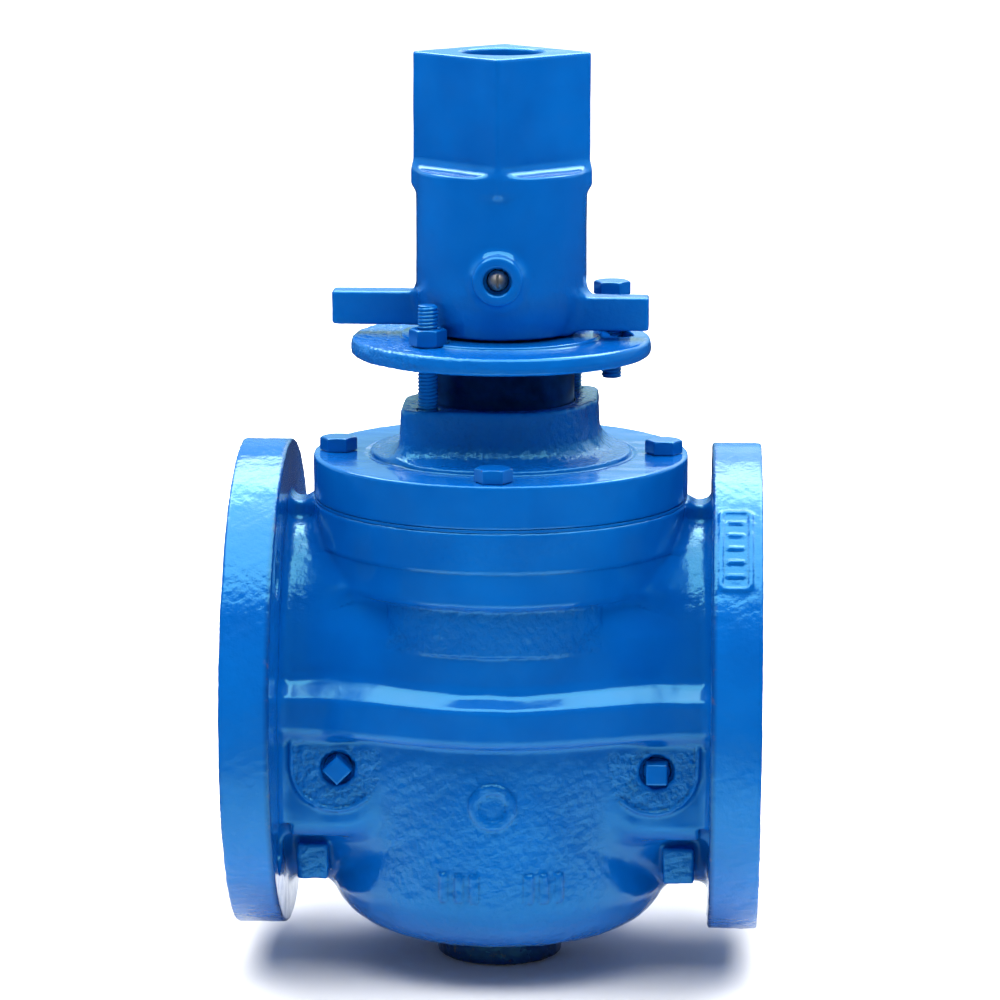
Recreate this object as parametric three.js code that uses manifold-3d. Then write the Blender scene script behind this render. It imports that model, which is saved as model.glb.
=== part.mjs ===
// A 3 in flanged eccentric plug valve with a square-topped operating head and an adjustable stop plate.
// Millimetres, +Z up. The flow axis is X, the stem axis is Z, and -Y is the front. Heights in this file are
// measured from the flow axis; at the end the whole valve is lifted to stand on its foot at the origin.
// The valve stands open: the plug's closure is on the +Y side, and turning it -90 degrees about Z shuts the
// port at +X, where the seat ring is.
import * as THREE from 'three';
import { mergeVertices } from 'three/addons/utils/BufferGeometryUtils.js';
import Module from 'manifold-3d';

const GAP = 0.3;              // between pieces that touch on the real valve
const REACH = 10;             // how far a cutting tool runs past the face it leaves
const FINE = 44;              // facets round the large turned forms
const MEDIUM = 32;            // facets round the stem and what fits on it
const COARSE = 16;            // facets round fasteners and small holes
const CURVE_STEPS = 6;        // facets along each arc of a flat outline

// Flanges and flow passage
const FACE_TO_FACE = 203.2;
const FLANGE_R = 95.25;
const FLANGE_THICK = 19.05;
const FLANGE_BOLT_CIRCLE_R = 76.2;
const FLANGE_HOLE_R = 9.525;
const PORT_R = 38.1;
const END = FACE_TO_FACE / 2;
const FLANGE_BACK = END - FLANGE_THICK;

// Body casting
const BARREL_R = 67.5;
const NECK_HALF_WIDTH = 49.5;
const NECK_HALF_HEIGHT = 79;
const NECK_TOP = 70.5;
const LIP_R = 72.4;
const LIP_LOW = 44;
const LIP_HIGH = 48;
const BAND_LOW = 59;
const BAND_R = 73;
const BODY_TOP = 74.3;
const BOWL_BOTTOM = -97;      // where the bowl meets the foot
const BOWL_CORNER_R = 19;
const BOWL_SLOPE = 8;         // degrees that the bowl's underside rises outwards
const FOOT_R = 24.6;
const FOOT_BOTTOM = -109;
const BEAD_LOW = -9.6;
const BEAD_HIGH = 11;
const BEAD_PROUD = 7.5;
const BEAD_EDGE_R = 6;
const PAD_X = 61;
const PAD_R = 17.8;
const PAD_TOP = -9;
const PAD_CENTRE = -21.3;
const PAD_PROUD = 4.5;
const CHAMBER_R = 58;
const CHAMBER_FLOOR = -89;
const CHAMBER_CORNER_R = 16;
const HUB_R = 30;             // bearing hubs in the floor and under the bonnet
const HUB_FACE = 62;
const POCKET_FLOOR = -104;
const SEAT_HUB_R = 49;
const SEAT_HUB_ROOT = 62;     // where the seat's hub is buried in the neck
const BOLT_HOLE_DEPTH = 20;
const BURIED = 1;             // how far joined solids run into each other

// Stem, bearings and packing
const STEM_R = 19.05;
const BEARING_R = 22.3;
const STEM_TOP = 200;
const JOURNAL_END = -102.5;
const SEAL_THICK = 3.2;
const WASHER_THICK = 2.5;
const PACKING_R = 28.575;
const PACKING_FLOOR = 88.3;
const PACKING_THICK = 4.6;
const PACKING_COUNT = 4;
const GLAND_R = PACKING_R - 0.1;

// Plug
const BALL_R = 54.8;
const FACING_INNER_R = BALL_R + 2 * GAP;
const FACING_R = 57.3;
const CLOSURE_HALF = 41;
const WATERWAY_R = 34;
const ARM_R = 26;
const ARM_TOP = 58;
const CLOSURE_BACK = 30;      // the closure's flat inner side
const BACK_CUT_HALF = 27;     // half height of the opening in the side away from the closure

// Seat ring
const SEAT_OUTER_R = 44.7;
const SEAT_BACK = 56;
const SEAT_FACE_R = FACING_R + GAP;

// Bonnet
const GASKET_THICK = 0.8;
const BONNET_R = 73;
const BONNET_LOW = BODY_TOP + GASKET_THICK + 2 * GAP;
const BONNET_TOP = 92.4;
const BONNET_RING_R = 50.7;
const BONNET_RING_TOP = 93.8;
const SPIGOT_R = CHAMBER_R - 0.7;
const SPIGOT_DEPTH = 5;
const FLARE = [[46, 0], [41, 3]];   // foot of the packing box: radius, height above the ring
const FLARE_TOP = 7;
const STUFFING_R = 35;
const STUFFING_TOP = 113.5;
const EAR_OUTER = 37.4;
const EAR_FRONT = 33.5;
const EAR_REAR = 8;
const EAR_INNER = 8;
const EAR_CORNER_R = 9;
const BONNET_BOLT_R = 63.5;

// Gland, stop plate and fasteners
const GLAND_LOW = 108.2;
const PLATE_LOW = 131.4;
const PLATE_TOP = 138.1;
const PLATE_R = 58.3;
const PLATE_RING_R = 38.8;
const PLATE_RING_TOP = 139.4;
const STUD_R = 38;
const STUD_ANGLE = 45;
const STUD_LOW = 98;
const STUD_TOP = 154;
const SHANK_R = 3.97;
const SHANK_HOLE_R = SHANK_R + 0.33;
const HEX_AF = 12.7;
const HEX_CORNER_R = HEX_AF / Math.sqrt(3);
const HEAD_THICK = 5.4;
const NUT_THICK = 6.6;
const NUT_TURNS = [45, 30];   // how far round each gland nut ended up
const BONNET_BOLT_TURN = 30;
const BONNET_BOLT_GRIP = 34;
const SPOTFACE_R = 8;
const STOP_R = 47;
const STOP_HEAD_LOW = 152;
const STOP_END = 119;
const STOPS = [
  { name: 'open', angle: 25, slot: [5, 32] },
  { name: 'closed', angle: 66, slot: [56, 71] },
];

// Operating head
const HEAD_LOW = 140.5;
const HEAD_TAPER_TOP = 151;
const HEAD_LOW_R = 28.5;
const HEAD_R = 33;
const HEAD_SHOULDER = 203.4;
const SQUARE_LOW = 206.6;
const SQUARE_TOP = 248.3;
const SQUARE_AF = 49.2;
const SQUARE_CORNER_R = 2.2;
const HEAD_BORE_TOP = 203;
const TOP_HOLE_R = 15.75;
const BOSS_Z = 164.3;
const BOSS_R = 9.4;
const BOSS_FACE = 36.6;
const SCREW_POCKET_R = 6.1;
const SCREW_POCKET_DEPTH = 5;
const SCREW_SUNK = 1.2;       // how far the screw's rounded end sits below the boss
const SCREW_DOME = 1.8;
const WING_LOW = 142;
const WING_TOP = 155;
const WING_THICK = 11.5;
const WING_RIGHT = 57.3;
const WING_LEFT = 66;
const KEY_SIZE = 9.5;
const KEY_LOW = 150;
const KEY_TOP = 194;

// Pipe plugs
const PIPE_PLUG_Z = -22;
const PIPE_PLUG_X = { left: -60.1, right: 62.3 };
const PIPE_PLUG_TURN = { left: 45, right: 0 };
const PIPE_PLUG_R = 5.1;
const PIPE_PLUG_SQUARE = 8.4;
const PIPE_PLUG_PROUD = 4;
const PIPE_PLUG_LENGTH = 10;
const PIPE_PLUG_RECESS_R = 8.2;
const PIPE_PLUG_RECESS_DEPTH = 3.5;

const MATERIALS = {
  enamel: { color: 0x0b57ae, roughness: 0.3, metalness: 0.0 },
  bare_iron: { color: 0x4b4e52, roughness: 0.6, metalness: 0.8 },
  steel: { color: 0x8e9297, roughness: 0.35, metalness: 1.0 },
  stainless: { color: 0xb9bdc1, roughness: 0.28, metalness: 1.0 },
  bronze: { color: 0x9a6b34, roughness: 0.4, metalness: 1.0 },
  rubber: { color: 0x1c1c1d, roughness: 0.8, metalness: 0.0 },
  packing: { color: 0x6d6a60, roughness: 0.9, metalness: 0.0 },
};

const wasm = await Module();
wasm.setup();

const radians = (degrees) => THREE.MathUtils.degToRad(degrees);

// --- Geometry helpers -------------------------------------------------------------------------------------

/** Turns a closed three.js geometry into a solid that can be joined and cut. */
function solid(geometry) {
  const bare = geometry.clone();
  bare.deleteAttribute('normal');
  bare.deleteAttribute('uv');
  const merged = mergeVertices(bare, 1e-3);
  const corners = merged.index.array;
  const kept = [];
  for (let i = 0; i < corners.length; i += 3) {
    const [a, b, c] = [corners[i], corners[i + 1], corners[i + 2]];
    if (a !== b && b !== c && c !== a) kept.push(a, b, c);
  }
  const vertProperties = Float32Array.from(merged.attributes.position.array);
  return new wasm.Manifold(new wasm.Mesh({ numProp: 3, vertProperties, triVerts: Uint32Array.from(kept) }));
}

/** Turns a solid back into a geometry for a mesh. */
function geometryOf(body) {
  const { vertProperties, triVerts } = body.getMesh();
  const geometry = new THREE.BufferGeometry();
  geometry.setAttribute('position', new THREE.BufferAttribute(Float32Array.from(vertProperties), 3));
  geometry.setIndex(new THREE.BufferAttribute(Uint32Array.from(triVerts), 1));
  geometry.computeVertexNormals();
  return geometry;
}

const union = (first, ...others) => others.reduce((whole, next) => whole.add(next), first);
const cut = (first, ...tools) => tools.reduce((whole, tool) => whole.subtract(tool), first);

/** A form turned about Z from [radius, height] points, listed counter-clockwise. */
function turned(profile, facets = FINE) {
  const points = profile.map(([r, z]) => new THREE.Vector2(r, z));
  return solid(new THREE.LatheGeometry(points, facets).rotateX(Math.PI / 2));
}

/** Profile points along a quarter or other arc, angles in degrees from the outward direction. */
function arc(r, z, radius, from, to, steps) {
  return Array.from({ length: steps + 1 }, (_, i) => {
    const angle = radians(from + ((to - from) * i) / steps);
    return [r + radius * Math.cos(angle), z + radius * Math.sin(angle)];
  });
}

function disc(radius, low, high, facets = FINE) {
  return turned([[0, low], [radius, low], [radius, high], [0, high]], facets);
}

function ring(inner, outer, low, high, facets = FINE) {
  return turned([[inner, low], [outer, low], [outer, high], [inner, high], [inner, low]], facets);
}

/** A flat outline drawn in X and Y, raised from low to high. */
function prism(shape, low, high, steps = CURVE_STEPS) {
  const options = { depth: high - low, curveSegments: steps, bevelEnabled: false };
  return solid(new THREE.ExtrudeGeometry(shape, options).translate(0, 0, low));
}

function polygon(points) {
  return new THREE.Shape(points.map(([x, y]) => new THREE.Vector2(x, y)));
}

/** A rectangle from low to high corner with all four corners rounded. */
function roundedRectangle([x0, y0], [x1, y1], radius) {
  const shape = new THREE.Shape();
  shape.absarc(x1 - radius, y0 + radius, radius, -Math.PI / 2, 0);
  shape.absarc(x1 - radius, y1 - radius, radius, 0, Math.PI / 2);
  shape.absarc(x0 + radius, y1 - radius, radius, Math.PI / 2, Math.PI);
  shape.absarc(x0 + radius, y0 + radius, radius, Math.PI, Math.PI * 1.5);
  shape.closePath();
  return shape;
}

function box([x0, y0, z0], [x1, y1, z1]) {
  const geometry = new THREE.BoxGeometry(x1 - x0, y1 - y0, z1 - z0);
  return solid(geometry.translate((x0 + x1) / 2, (y0 + y1) / 2, (z0 + z1) / 2));
}

/** A hexagonal prism on Z. turn 0 puts a flat towards +X. */
function hexagon(low, high, turn = 0) {
  const corners = Array.from({ length: 6 }, (_, i) => {
    const angle = radians(turn + 30 + 60 * i);
    return [HEX_CORNER_R * Math.cos(angle), HEX_CORNER_R * Math.sin(angle)];
  });
  return prism(polygon(corners), low, high);
}

const alongX = (body) => body.rotate([0, 90, 0]);       // +Z becomes +X
const alongFront = (body) => body.rotate([90, 0, 0]);   // +Z becomes -Y
const polar = (radius, degrees) => [radius * Math.cos(radians(degrees)), radius * Math.sin(radians(degrees))];
const placedAt = (body, [x, y], z = 0) => body.translate([x, y, z]);
const studPlaces = [STUD_ANGLE, STUD_ANGLE + 180].map((angle) => polar(STUD_R, angle));
const bonnetBoltPlaces = [-90, 0, 90, 180].map((angle) => polar(BONNET_BOLT_R, angle));

// --- Body -------------------------------------------------------------------------------------------------

/** Barrel, bowl and foot, turned about the stem axis. */
function barrel() {
  const middle = BARREL_R - BOWL_CORNER_R;
  const slope = radians(BOWL_SLOPE);
  const cornerZ = BOWL_BOTTOM + (middle - FOOT_R) * Math.tan(slope) + BOWL_CORNER_R / Math.cos(slope);
  const corner = arc(middle, cornerZ, BOWL_CORNER_R, BOWL_SLOPE - 90, 0, 7);
  return turned([
    [0, FOOT_BOTTOM],
    [FOOT_R, FOOT_BOTTOM],
    [FOOT_R, BOWL_BOTTOM],
    ...corner,
    [BARREL_R, LIP_LOW],
    [LIP_R, LIP_HIGH],
    [BAND_R, BAND_LOW],
    [BAND_R, BODY_TOP],
    [0, BODY_TOP],
  ]);
}

/** The oval necks, made as one bar along the pipe. */
function necks() {
  const section = new THREE.Shape().absellipse(0, 0, NECK_HALF_HEIGHT, NECK_HALF_WIDTH, 0, 2 * Math.PI);
  const bar = alongX(prism(section, -END + BURIED, END - BURIED, FINE / 2));
  const above = box([-END, -NECK_HALF_WIDTH, NECK_TOP], [END, NECK_HALF_WIDTH, NECK_HALF_HEIGHT + REACH]);
  return cut(bar, above);
}

/** The rounded rib that runs from flange to flange and bulges round the barrel. */
function bead() {
  const half = NECK_HALF_WIDTH + BEAD_PROUD;
  const radius = BARREL_R + BEAD_PROUD;
  const straight = roundedRectangle([-BEAD_HIGH, -half], [-BEAD_LOW, half], BEAD_EDGE_R);
  const round = turned([
    [0, BEAD_LOW],
    ...arc(radius - BEAD_EDGE_R, BEAD_LOW + BEAD_EDGE_R, BEAD_EDGE_R, -90, 0, 3),
    ...arc(radius - BEAD_EDGE_R, BEAD_HIGH - BEAD_EDGE_R, BEAD_EDGE_R, 0, 90, 3),
    [0, BEAD_HIGH],
  ]);
  return union(round, alongX(prism(straight, -END + BURIED, END - BURIED)));
}

/** A D-shaped pad on each side of each neck, standing a little proud of it. */
function pads() {
  const shape = new THREE.Shape();
  shape.moveTo(-PAD_R, PAD_TOP - PAD_CENTRE);
  shape.absarc(0, 0, PAD_R, Math.PI, 2 * Math.PI);
  shape.lineTo(PAD_R, PAD_TOP - PAD_CENTRE);
  shape.closePath();
  const reach = NECK_HALF_WIDTH + PAD_PROUD;
  const bar = prism(shape, -reach, reach).rotate([90, 0, 0]);
  return [-1, 1].map((side) => bar.translate([side * PAD_X, 0, PAD_CENTRE]));
}

function flange(side) {
  const hole = disc(FLANGE_HOLE_R, FLANGE_BACK - REACH / 2, END + REACH, COARSE);
  const holes = [45, 135, 225, 315].map((angle) => placedAt(hole, polar(FLANGE_BOLT_CIRCLE_R, angle)));
  const plate = cut(disc(FLANGE_R, FLANGE_BACK, END, FINE), ...holes);
  return plate.rotate([0, 90 * side, 0]);
}

/** The drilled and tapped hole of a pipe plug, from its recess through to the port. */
function pipePlugHole(side) {
  const face = NECK_HALF_WIDTH + PAD_PROUD;
  const recess = disc(PIPE_PLUG_RECESS_R, face - PIPE_PLUG_RECESS_DEPTH, face + REACH, COARSE);
  const hole = disc(PIPE_PLUG_R + GAP, PORT_R / 2, face, COARSE);
  return alongFront(union(recess, hole)).translate([PIPE_PLUG_X[side], 0, PIPE_PLUG_Z]);
}

/** The hollow round the plug, open at the top, with the lower bearing's hub left standing. */
function chamber() {
  const corner = arc(
    CHAMBER_R - CHAMBER_CORNER_R, CHAMBER_FLOOR + CHAMBER_CORNER_R, CHAMBER_CORNER_R, -90, 0, 4,
  );
  return turned([
    [0, -HUB_FACE],
    [HUB_R, -HUB_FACE],
    [HUB_R, CHAMBER_FLOOR],
    ...corner,
    [CHAMBER_R, BODY_TOP + REACH],
    [0, BODY_TOP + REACH],
  ]);
}

/** The ring of metal round the seat, hollowed to clear the turning plug. */
function seatHub() {
  const tube = alongX(disc(SEAT_HUB_R, PORT_R, SEAT_HUB_ROOT));
  return cut(tube, solid(new THREE.SphereGeometry(SEAT_FACE_R + 2 * GAP, MEDIUM, MEDIUM)));
}

function valveBody() {
  const casting = union(barrel(), necks(), bead(), ...pads(), flange(-1), flange(1));
  const hollow = cut(casting, chamber(), disc(BEARING_R + GAP, POCKET_FLOOR, -HUB_FACE + REACH, MEDIUM));
  const port = alongX(disc(PORT_R, -END - REACH, END + REACH, FINE));
  const seatPocket = alongX(disc(SEAT_OUTER_R + GAP, 0, SEAT_BACK + GAP, FINE));
  const bonnetHole = disc(SHANK_HOLE_R, BODY_TOP - BOLT_HOLE_DEPTH, BODY_TOP + REACH, COARSE);
  return cut(
    union(hollow, seatHub()),
    port,
    seatPocket,
    pipePlugHole('left'),
    pipePlugHole('right'),
    ...bonnetBoltPlaces.map((spot) => placedAt(bonnetHole, spot)),
  );
}

/** The seat ring, with a face that is part of a ball about the origin. */
function seatRing() {
  const faceAt = (r) => [r, Math.sqrt(SEAT_FACE_R ** 2 - r ** 2)];
  const face = [0, 1, 2, 3].map((i) => faceAt(PORT_R + ((SEAT_OUTER_R - PORT_R) * i) / 3));
  const start = [PORT_R, SEAT_BACK];
  return alongX(turned([start, ...face, [SEAT_OUTER_R, SEAT_BACK], start], MEDIUM));
}

// --- Plug and stem ----------------------------------------------------------------------------------------

/** The closure is a slice of a ball, held by an arm above and below the waterway. */
function plug() {
  const ball = solid(new THREE.SphereGeometry(BALL_R, MEDIUM, MEDIUM));
  const closureBox = box([-CLOSURE_HALF, CLOSURE_BACK, -CLOSURE_HALF], [CLOSURE_HALF, BALL_R, CLOSURE_HALF]);
  const armBox = box([-ARM_R, 0, -BALL_R], [ARM_R, BALL_R, BALL_R]);
  const closure = ball.intersect(closureBox);
  const arms = ball.intersect(armBox);
  const hub = disc(ARM_R, -ARM_TOP, ARM_TOP, MEDIUM);
  const waterway = alongX(disc(WATERWAY_R, -BALL_R - REACH, BALL_R + REACH, MEDIUM));
  const behind = box([-BALL_R, -BALL_R, -BACK_CUT_HALF], [BALL_R, 0, BACK_CUT_HALF]);
  const trunnion = (low, high) => disc(STEM_R, low, high, MEDIUM);
  const keyHalf = KEY_SIZE / 2;
  const keyway = box([-keyHalf, STEM_R - keyHalf, KEY_LOW], [keyHalf, STEM_R + REACH, STEM_TOP + REACH]);
  return cut(
    union(
      cut(union(closure, arms, hub), waterway, behind),
      trunnion(JOURNAL_END, -ARM_TOP + BURIED),
      trunnion(ARM_TOP - BURIED, STEM_TOP),
    ),
    keyway,
  );
}

/** The rubber over the closure: a cap of the ball, turned about Y. */
function plugFacing() {
  const rimAngle = (radius) => THREE.MathUtils.radToDeg(Math.acos(CLOSURE_HALF / radius));
  const outside = arc(0, 0, FACING_R, rimAngle(FACING_R), 90, 8);
  const inside = arc(0, 0, FACING_INNER_R, 90, rimAngle(FACING_INNER_R), 6);
  return turned([...outside, ...inside, outside[0]], MEDIUM).rotate([-90, 0, 0]);
}

// --- Bonnet -----------------------------------------------------------------------------------------------

/** One squared ear of the packing box; the other is half a turn round. */
function ear() {
  return roundedRectangle([-EAR_OUTER, -EAR_FRONT], [-EAR_INNER, EAR_REAR], EAR_CORNER_R);
}

function bonnet() {
  const plate = turned([
    [0, HUB_FACE],
    [HUB_R, HUB_FACE],
    [HUB_R, BONNET_LOW - SPIGOT_DEPTH],
    [SPIGOT_R, BONNET_LOW - SPIGOT_DEPTH],
    [SPIGOT_R, BONNET_LOW],
    [BONNET_R, BONNET_LOW],
    [BONNET_R, BONNET_TOP],
    [BONNET_RING_R, BONNET_TOP],
    [BONNET_RING_R, BONNET_RING_TOP],
    ...FLARE.map(([r, rise]) => [r, BONNET_RING_TOP + rise]),
    [STUFFING_R, BONNET_RING_TOP + FLARE_TOP],
    [STUFFING_R, STUFFING_TOP],
    [0, STUFFING_TOP],
  ]);
  const earBlock = prism(ear(), BONNET_TOP - BURIED, STUFFING_TOP);
  const studHole = disc(SHANK_HOLE_R, STUD_LOW - GAP, STUFFING_TOP + REACH, COARSE);
  const boltHole = disc(SHANK_HOLE_R, BONNET_LOW - REACH, BONNET_TOP + REACH, COARSE);
  return cut(
    union(plate, earBlock, earBlock.rotate([0, 0, 180])),
    disc(BEARING_R + GAP, 0, PACKING_FLOOR + BURIED, MEDIUM),
    disc(PACKING_R + GAP, PACKING_FLOOR, STUFFING_TOP + REACH, MEDIUM),
    ...studPlaces.map((spot) => placedAt(studHole, spot)),
    ...bonnetBoltPlaces.map((spot) => placedAt(boltHole, spot)),
  );
}

function gasket() {
  const low = BODY_TOP + GAP;
  const hole = disc(SHANK_HOLE_R, low - REACH, low + REACH, COARSE);
  const sheet = ring(CHAMBER_R, BONNET_R - 1, low, low + GASKET_THICK);
  return cut(sheet, ...bonnetBoltPlaces.map((spot) => placedAt(hole, spot)));
}

// --- Gland and stop plate ---------------------------------------------------------------------------------

/** An arc-shaped slot about Z, cut right through the stop plate. */
function slotCutter([from, to]) {
  const half = SHANK_HOLE_R;
  const shape = new THREE.Shape();
  shape.absarc(0, 0, STOP_R + half, radians(from), radians(to));
  shape.absarc(...polar(STOP_R, to), half, radians(to), radians(to + 180));
  shape.absarc(0, 0, STOP_R - half, radians(to), radians(from), true);
  shape.absarc(...polar(STOP_R, from), half, radians(from + 180), radians(from + 360));
  return prism(shape, PLATE_LOW - REACH, PLATE_TOP + REACH);
}

/** The disc that presses on the gland, held by two studs and slotted for the stop bolts. */
function stopPlate() {
  const plate = disc(PLATE_R, PLATE_LOW, PLATE_TOP);
  const raised = disc(PLATE_RING_R, PLATE_LOW + BURIED, PLATE_RING_TOP, MEDIUM);
  const studHole = disc(SHANK_HOLE_R, PLATE_LOW - REACH, PLATE_TOP + REACH, COARSE);
  const spotface = disc(SPOTFACE_R, PLATE_TOP, PLATE_TOP + REACH, COARSE);
  return cut(
    union(plate, raised),
    disc(STEM_R + GAP, PLATE_LOW - REACH, PLATE_TOP + REACH, MEDIUM),
    ...STOPS.map(({ slot }) => slotCutter(slot)),
    ...studPlaces.flatMap((spot) => [placedAt(studHole, spot), placedAt(spotface, spot)]),
  );
}

function hexBolt(headLow, end, turn) {
  return union(hexagon(headLow, headLow + HEAD_THICK, turn), disc(SHANK_R, end, headLow + BURIED, COARSE));
}

function hexNut(low, turn) {
  const hole = disc(SHANK_HOLE_R, low - REACH, low + NUT_THICK + REACH, COARSE);
  return cut(hexagon(low, low + NUT_THICK, turn), hole);
}

// --- Operating head ---------------------------------------------------------------------------------------

function operatingHead() {
  const turnedPart = turned([
    [0, HEAD_LOW],
    [HEAD_LOW_R, HEAD_LOW],
    [HEAD_R, HEAD_TAPER_TOP],
    [HEAD_R, HEAD_SHOULDER],
    [SQUARE_AF / 2 - BURIED, SQUARE_LOW],
    [0, SQUARE_LOW],
  ], MEDIUM);
  const half = SQUARE_AF / 2;
  const outline = roundedRectangle([-half, -half], [half, half], SQUARE_CORNER_R);
  const square = prism(outline, HEAD_SHOULDER - BURIED, SQUARE_TOP).rotate([0, 0, 45]);
  const wings = [
    box([0, -WING_THICK, WING_LOW], [WING_RIGHT, 0, WING_TOP]),
    box([-WING_LEFT, 0, WING_LOW], [0, WING_THICK, WING_TOP]),
  ];
  const boss = alongFront(disc(BOSS_R, 0, BOSS_FACE, COARSE)).translate([0, 0, BOSS_Z]);
  const pocket = alongFront(disc(SCREW_POCKET_R, BOSS_FACE - SCREW_POCKET_DEPTH, BOSS_FACE + REACH, COARSE));
  const screwHole = alongFront(disc(SHANK_HOLE_R, 0, BOSS_FACE, COARSE));
  const keyHalf = KEY_SIZE / 2 + GAP;
  return cut(
    union(turnedPart, square, ...wings, boss),
    disc(STEM_R + GAP, HEAD_LOW - REACH, HEAD_BORE_TOP, MEDIUM),
    disc(TOP_HOLE_R, HEAD_BORE_TOP - BURIED, SQUARE_TOP + REACH, MEDIUM),
    box([-keyHalf, 0, HEAD_LOW - REACH], [keyHalf, STEM_R + keyHalf, HEAD_BORE_TOP]),
    pocket.translate([0, 0, BOSS_Z]),
    screwHole.translate([0, 0, BOSS_Z]),
  );
}

/** The set screw that holds the head on the stem, with a rounded outer end. */
function setScrew() {
  const outer = BOSS_FACE - SCREW_SUNK;
  const inner = STEM_R + GAP;
  const domeR = (SHANK_R ** 2 + SCREW_DOME ** 2) / (2 * SCREW_DOME);
  const rim = 90 - THREE.MathUtils.radToDeg(Math.asin(SHANK_R / domeR));
  const dome = arc(0, outer - domeR, domeR, rim, 90, 3);
  const screw = turned([[0, inner], [SHANK_R, inner], ...dome], COARSE);
  return alongFront(screw).translate([0, 0, BOSS_Z]);
}

function driveKey() {
  const half = KEY_SIZE / 2 - GAP;
  return box([-half, STEM_R - half, KEY_LOW + GAP], [half, STEM_R + half, KEY_TOP]);
}

/** A square-headed pipe plug, standing in its recess in a pad. */
function pipePlug(side) {
  const face = NECK_HALF_WIDTH + PAD_PROUD;
  const seat = face - PIPE_PLUG_RECESS_DEPTH + GAP;
  const half = PIPE_PLUG_SQUARE / 2;
  const outline = polygon([[-half, -half], [half, -half], [half, half], [-half, half]]);
  const square = prism(outline, seat, face + PIPE_PLUG_PROUD);
  const shank = disc(PIPE_PLUG_R, seat - PIPE_PLUG_LENGTH, seat + BURIED, COARSE);
  const turnedSquare = square.rotate([0, 0, PIPE_PLUG_TURN[side]]);
  return alongFront(union(shank, turnedSquare)).translate([PIPE_PLUG_X[side], 0, PIPE_PLUG_Z]);
}

// --- Assembly ---------------------------------------------------------------------------------------------

const valve = new THREE.Group();
const fixed = new THREE.Group();
const turning = new THREE.Group();
valve.add(fixed, turning);

function place(parent, name, body, material) {
  const mesh = new THREE.Mesh(geometryOf(body), new THREE.MeshStandardMaterial(MATERIALS[material]));
  mesh.name = name;
  parent.add(mesh);
  return mesh;
}

place(fixed, 'valve_body', valveBody(), 'enamel');
place(fixed, 'seat_ring', seatRing(), 'stainless');
place(fixed, 'bonnet_gasket', gasket(), 'rubber');
place(fixed, 'bonnet', bonnet(), 'enamel');
for (const side of ['left', 'right']) place(fixed, `pipe_plug_${side}`, pipePlug(side), 'enamel');

// Each end of the plug runs in a bearing, behind a grit seal and a thrust washer.
const sealSpan = [HUB_FACE + GAP, HUB_FACE + GAP + SEAL_THICK];
const washerSpan = [HUB_FACE - GAP - WASHER_THICK, HUB_FACE - GAP];
const bearingSpan = {
  lower: [sealSpan[1] + GAP, -JOURNAL_END - GAP],
  upper: [sealSpan[1] + GAP, PACKING_FLOOR - GAP],
};
for (const [end, flip] of [['upper', 1], ['lower', -1]]) {
  const between = (inner, outer, [near, far]) => {
    const [low, high] = [flip * near, flip * far].sort((a, b) => a - b);
    return ring(inner, outer, low, high, MEDIUM);
  };
  place(fixed, `${end}_bearing`, between(STEM_R + GAP, BEARING_R, bearingSpan[end]), 'bronze');
  place(fixed, `${end}_grit_seal`, between(STEM_R + GAP, BEARING_R, sealSpan), 'rubber');
  place(fixed, `${end}_thrust_washer`, between(STEM_R + GAP, HUB_R - 1, washerSpan), 'bronze');
}

bonnetBoltPlaces.forEach((spot, i) => {
  const bolt = hexBolt(BONNET_TOP + GAP, BONNET_TOP - BONNET_BOLT_GRIP, BONNET_BOLT_TURN);
  place(fixed, `bonnet_bolt_${i + 1}`, placedAt(bolt, spot), 'enamel');
});

for (let i = 0; i < PACKING_COUNT; i += 1) {
  const low = PACKING_FLOOR + GAP + i * (PACKING_THICK + GAP);
  const packing = ring(STEM_R + GAP, PACKING_R, low, low + PACKING_THICK, MEDIUM);
  place(fixed, `packing_ring_${i + 1}`, packing, 'packing');
}

const gland = ring(STEM_R + GAP, GLAND_R, GLAND_LOW, PLATE_LOW - GAP, MEDIUM);
place(fixed, 'packing_gland', gland, 'bare_iron');
place(fixed, 'stop_plate', stopPlate(), 'enamel');
studPlaces.forEach((spot, i) => {
  place(fixed, `gland_stud_${i + 1}`, placedAt(disc(SHANK_R, STUD_LOW, STUD_TOP, COARSE), spot), 'enamel');
  place(fixed, `gland_nut_${i + 1}`, placedAt(hexNut(PLATE_TOP + GAP, NUT_TURNS[i]), spot), 'enamel');
});

for (const { name, angle } of STOPS) {
  const stop = new THREE.Group();
  stop.position.set(...polar(STOP_R, angle), 0);
  stop.rotation.z = radians(angle);
  valve.add(stop);
  place(stop, `${name}_stop_bolt`, hexBolt(STOP_HEAD_LOW, STOP_END, 0), 'enamel');
  place(stop, `${name}_stop_nut_upper`, hexNut(PLATE_TOP + GAP, 0), 'enamel');
  place(stop, `${name}_stop_nut_lower`, hexNut(PLATE_LOW - GAP - NUT_THICK, 0), 'enamel');
}

place(turning, 'plug', plug(), 'bare_iron');
place(turning, 'plug_facing', plugFacing(), 'rubber');
place(turning, 'drive_key', driveKey(), 'steel');
place(turning, 'operating_head', operatingHead(), 'enamel');
place(turning, 'head_set_screw', setScrew(), 'steel');

valve.position.z = -FOOT_BOTTOM;

export default valve;
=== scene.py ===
import math

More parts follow.
